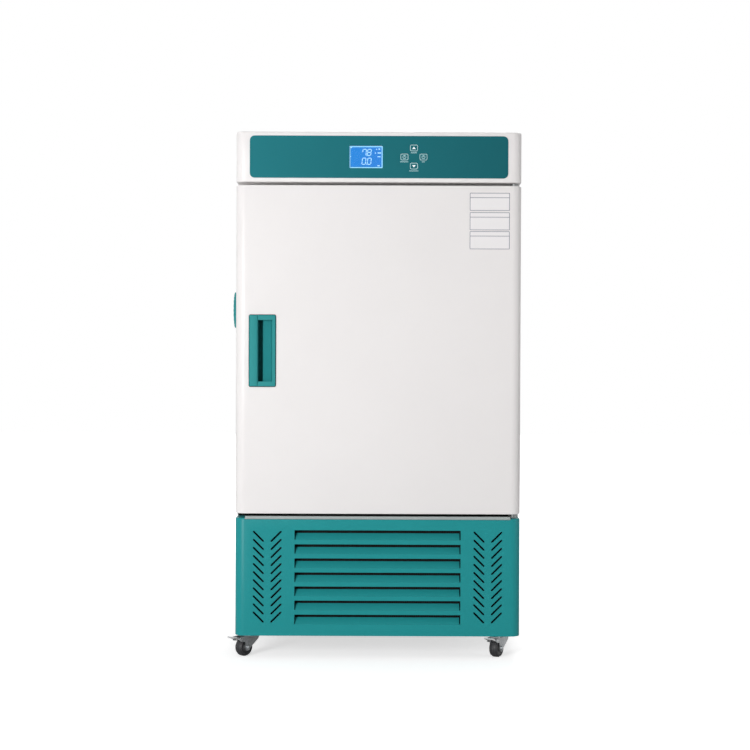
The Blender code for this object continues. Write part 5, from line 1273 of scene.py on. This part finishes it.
@dataclass
class MachineSpace:
    """What the machine space's solids leave out: coil ends, terminals, bolts, meshes and seal."""

    coil_rows: int = 8
    coil_ranks: Span = (0.26, 0.74)
    coil_tube: float = 0.0042
    left_bends: tuple[int, ...] = (2, 4)
    bend_lead: float = 0.002
    bend_steps: int = 8
    end_sheet: Span = (0.0002, 0.0014)
    end_margin: Span = (0.0005, 0.001)
    end_corner: float = 0.002
    can_reach: float = 0.072
    terminal_rise: float = 0.086
    terminal_half: Span = (0.026, 0.030)
    terminal_depth: float = 0.030
    terminal_corner: float = 0.006
    terminal_bevel: float = 0.002
    terminal_sink: float = 0.010
    clip_wire: float = 0.0012
    clip_gap: float = 0.0014
    clip_sink: float = 0.004
    foot_bolt: HexHead = HexHead(0.0052, 0.0050)
    foot_inset: Span = (0.014, 0.0275)
    foot_height: float = 0.0160
    vent_half: float = 0.186
    vent_shift: float = 0.021
    vent_margin: float = 0.008
    vent_gaps: Span = (0.0016, 0.0008)
    mesh_corner: float = 0.004
    screen_setback: float = 0.022
    screen_margin: Span = (0.020, 0.022)
    screen_thickness: float = 0.0020
    seal_depth: float = 0.0060
    seal_heights: Span = (0.0006, 0.0080)
    seal_ends: Span = (0.0020, 0.0008)
    seal_corner: float = 0.002
    seal_lap: float = 0.0001
    # The bead's section, from the sill's front and from its top
    bead: Outline = (
        (0.0006, -SEAT), (0.0006, 0.0027), (0.0011, 0.0038), (0.0022, 0.0043),
        (0.0056, 0.0043), (0.0066, -SEAT),
    )
    bead_inset: float = 0.0010

    def build(self) -> None:
        """Makes every piece of the machine space."""
        self._coil_ends()
        self._terminal_cover()
        self._feet()
        self._mesh()
        self._screen()
        self._door_seal()

    def _coil_ends(self) -> None:
        """Adds the condenser's end plates and the bends that join its tubes."""
        low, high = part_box("condenser")
        pitch = (high.z - low.z) / self.coil_rows
        u, v = self.end_margin
        plate = rectangle(low.y + u, high.y - u, low.z + v, high.z - v, self.end_corner)
        for side, place, end, rows in (
            (1, high.x, "right", range(0, self.coil_rows - 1, 2)),
            (-1, low.x, "left", self.left_bends),
        ):
            sheet = sorted(place + side * reach for reach in self.end_sheet)
            Shape().prism(plate, Facing.SIDE, *sheet).place(
                f"condenser_{end}_end_plate", END_PLATE
            )
            bends = Shape()
            for row in rows:
                for share in self.coil_ranks:
                    rank, middle = low.y + (high.y - low.y) * share, low.z + pitch * (row + 1)
                    path = [Vector((place, rank, middle - pitch / 2))]
                    for step in range(1, self.bend_steps):
                        turn = math.pi * step / self.bend_steps
                        x = place + side * (self.bend_lead + pitch / 2 * math.sin(turn))
                        path.append(Vector((x, rank, middle - pitch / 2 * math.cos(turn))))
                    path.append(Vector((place, rank, middle + pitch / 2)))
                    bends.pipe(path, self.coil_tube, sides=12)
            bends.place(f"condenser_{end}_bends", COPPER)

    def _terminal_cover(self) -> None:
        """Adds the compressor's moulded terminal cover with its spring clip."""
        low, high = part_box("compressor")
        middle = (low + high) / 2
        can, rise = middle.x + self.can_reach, low.z + self.terminal_rise
        back = can - self.terminal_sink
        face = back + self.terminal_depth
        outline = centred(middle.y, rise, *self.terminal_half, self.terminal_corner)
        Shape().prism(outline, Facing.SIDE, back, face).place(
            "compressor_terminal_cover", BLACK_MOULDING, soften=self.terminal_bevel
        )
        start, end = can - self.clip_sink, face + self.clip_wire
        side = self.terminal_half[0] + self.clip_gap
        corners = ((start, -side), (end, -side), (end, side), (start, side))
        path = [Vector((x, middle.y + y, rise)) for x, y in corners]
        Shape().pipe(path, self.clip_wire, sides=8).place("compressor_terminal_clip", ZINC)

    def _feet(self) -> None:
        """Adds a bolt on each of the compressor's four feet."""
        low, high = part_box("compressor")
        x, y = self.foot_inset
        seats = [
            Vector((across, along, low.z + self.foot_height))
            for across in (low.x + x, high.x - x) for along in (low.y + y, high.y - y)
        ]
        self.foot_bolt.fasten("compressor_bolts", ZINC, seats, UP)

    def _mesh(self) -> None:
        """Adds the dark insect mesh inside the rear vents."""
        low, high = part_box("rear_panel")
        middle, half = (low.x + high.x) / 2 + self.vent_shift, self.vent_half
        bottom, top = low.z + self.vent_margin, high.z - self.vent_margin
        sheet = rectangle(middle - half, middle + half, bottom, top, self.mesh_corner)
        near, far = (low.y - gap for gap in self.vent_gaps)
        Shape().prism(sheet, Facing.FRONT, near, far).place(
            "rear_insect_mesh", INSECT_MESH
        )

    def _screen(self) -> None:
        """Adds the mesh pad behind the louvres and the slots, near-black as painted shade for the
        inside of the base.
        """
        low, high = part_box("base_front")
        back = low.y + self.screen_setback
        u, v = self.screen_margin
        sheet = rectangle(low.x + u, high.x - u, low.z + v, high.z - v, self.mesh_corner)
        Shape().prism(sheet, Facing.FRONT, back, back + self.screen_thickness).place(
            "louvre_mesh_pad", LOUVRE_PAD_PAINTED_SHADE
        )

    def _door_seal(self) -> None:
        """Adds a foam strip behind the sill, near-black as painted shade for the gap under the door,
        and the sill's raised bead before it.
        """
        low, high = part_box("base_sill")
        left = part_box("base_front")[0].x + self.seal_ends[0]
        bottom, top = (high.z + height for height in self.seal_heights)
        strip = rectangle(left, high.x - self.seal_ends[1], bottom, top, self.seal_corner)
        front, back = high.y - self.seal_depth, high.y + self.seal_lap
        Shape().prism(strip, Facing.FRONT, front, back).place("sill_seal", SEAL_PAINTED_SHADE)
        bead = [(low.y + y, high.z + z) for y, z in self.bead]
        left, right = low.x + self.bead_inset, high.x - self.bead_inset
        Shape().prism(bead, Facing.SIDE, left, right).place("sill_bead", SILL)


@dataclass(frozen=True)
class Lamp:
    """A rectangular softbox that faces the cabinet."""

    name: str
    place: Triple
    wide: float
    tall: float
    power: float
    aim: Triple = (0.0, 0.0, 0.6)

    def build(self) -> None:
        """Adds the lamp to the scene."""
        data = bpy.data.lights.new(self.name, "AREA")
        data.shape = "RECTANGLE"
        data.size = self.wide
        data.size_y = self.tall
        data.energy = self.power
        lamp = bpy.data.objects.new(self.name, data)
        lamp.location = self.place
        aim = Vector(self.aim) - Vector(self.place)
        lamp.rotation_euler = aim.to_track_quat("-Z", "Y").to_euler()
        bpy.context.scene.collection.objects.link(lamp)


@dataclass
class Studio:
    """Floor, background and lamps."""

    floor_half: float = 9.0
    floor_grey: float = 0.82
    floor_lift: float = 0.62
    # The distances from the origin between which the floor turns white
    floor_fade: Span = (0.45, 1.6)
    ambient: float = 0.30
    lamps: tuple[Lamp, ...] = (
        Lamp("key", (-2.0, -3.6, 1.0), 1.0, 1.4, 96.0),
        Lamp("strip", (-1.35, -3.9, 0.8), 0.10, 2.6, 4.0),
        Lamp("side", (3.3, -1.1, 1.1), 1.4, 1.4, 13.0),
        Lamp("rear", (0.6, 2.8, 3.0), 1.8, 1.8, 60.0),
    )

    def build(self) -> None:
        """Makes the floor, the world and the lamps."""
        self._floor()
        self._world()
        for lamp in self.lamps:
            lamp.build()

    def _floor_material(self) -> bpy.types.Material:
        """Makes a pale material that keeps shadows and turns white away from the cabinet.

        Returns:
            The material.
        """
        material = new_material("studio_floor")
        tree = Tree(material.node_tree)
        grey = self.floor_grey
        diffuse = tree.add("ShaderNodeBsdfDiffuse", {"Color": (grey, grey, grey, 1.0)})
        lift = tree.add("ShaderNodeEmission", {"Color": WHITE})
        away = tree.add("ShaderNodeVectorMath", operation="LENGTH")
        tree.join(tree.add("ShaderNodeTexCoord"), "Object", away, 0)
        fade = tree.ranged(away, "Value", self.floor_fade, (self.floor_lift, 1.0))
        seen = tree.add("ShaderNodeMath", operation="MULTIPLY")
        tree.join(tree.add("ShaderNodeLightPath"), "Is Camera Ray", seen, 0)
        tree.links.new(fade, seen.inputs[1])
        tree.join(seen, 0, lift, "Strength")
        both = tree.add("ShaderNodeAddShader")
        tree.join(diffuse, 0, both, 0)
        tree.join(lift, 0, both, 1)
        tree.join(both, "Shader", tree.add("ShaderNodeOutputMaterial"), "Surface")
        return material

    def _floor(self) -> None:
        """Lays the floor."""
        shape = bmesh.new()
        half = self.floor_half
        corners = ((-half, -half), (half, -half), (half, half), (-half, half))
        shape.faces.new([shape.verts.new((x, y, 0.0)) for x, y in corners])
        data = bpy.data.meshes.new("studio_floor")
        shape.to_mesh(data)
        shape.free()
        data.materials.append(self._floor_material())
        floor = bpy.data.objects.new("studio_floor", data)
        bpy.context.scene.collection.objects.link(floor)

    def _world(self) -> None:
        """Lights the scene evenly, and shows white to the camera, to metal and through glass."""
        world = bpy.data.worlds.new("studio")
        world.use_nodes = True
        bpy.context.scene.world = world
        tree = Tree(world.node_tree)
        path = tree.add("ShaderNodeLightPath")
        largest, output = path, "Is Camera Ray"
        for name in ("Is Glossy Ray", "Is Transmission Ray"):
            higher = tree.add("ShaderNodeMath", operation="MAXIMUM")
            tree.join(largest, output, higher, 0)
            tree.join(path, name, higher, 1)
            largest, output = higher, 0
        strength = tree.ranged(largest, output, (0.0, 1.0), (self.ambient, 1.0))
        sky = tree.add("ShaderNodeBackground", {"Color": WHITE})
        tree.links.new(strength, sky.inputs["Strength"])
        tree.join(sky, "Background", tree.add("ShaderNodeOutputWorld"), "Surface")


@dataclass
class PhotoCamera:
    """The photograph's camera: level with the door's lower half, straight in front."""

    distance: float = 3.2
    height: float = 0.625
    middle: Vector = field(default_factory=lambda: Vector((-0.0066, 0.0, 0.5875)))
    sensor: float = 36.0
    frame_pixels: int = 750
    enlarged: float = 1.0025
    roll: float = math.radians(0.22)
    farthest: float = 100.0

    def build(self, offset: Vector) -> None:
        """Makes the camera and sets it as the scene's.

        Args:
            offset: the cabinet's own origin in the frame.
        """
        data = bpy.data.cameras.new("photo_camera")
        data.sensor_width = self.sensor
        data.lens = self.enlarged * self.sensor * self.distance / (self.frame_pixels * PIXEL)
        data.clip_end = self.farthest
        camera = bpy.data.objects.new("photo_camera", data)
        aim = self.middle + offset
        place = Vector((aim.x, aim.y - self.distance, self.height))
        camera.location = place
        aimed = (aim - place).to_track_quat("-Z", "Y")
        camera.rotation_euler = (aimed @ Quaternion((0.0, 0.0, 1.0), self.roll)).to_euler()
        bpy.context.scene.collection.objects.link(camera)
        bpy.context.scene.camera = camera


def main() -> None:
    """Builds the studio and every sub-assembly in order."""
    bpy.context.scene.view_settings.view_transform = "Standard"
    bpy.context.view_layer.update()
    low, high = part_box("door_skin")
    offset = Vector(((low.x + high.x) / 2, low.y, 0.0))
    PhotoCamera().build(offset)
    Studio().build()
    for finish, nodes in NODE_FINISHES.items():
        for name in nodes:
            dress(name, finish)
    ControlHead().build()
    FrontDoor().build(offset)
    for name in CORNERS:
        Castor(name, name.startswith("front")).build()
    Fasteners().build()
    MachineSpace().build()
    fan_low, fan_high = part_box("circulation_fan")
    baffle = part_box("air_baffle")[0].y
    middle = (fan_low + fan_high) / 2
    guard = Vector((middle.x, baffle - GUARD_GAP, middle.z))
    FanGuard("circulation_fan_guard", guard).build()
    ChamberFittings(baffle).build()


if __name__ == "__main__":
    logging.basicConfig(level=logging.INFO, format="%(name)s: %(message)s")
    main()
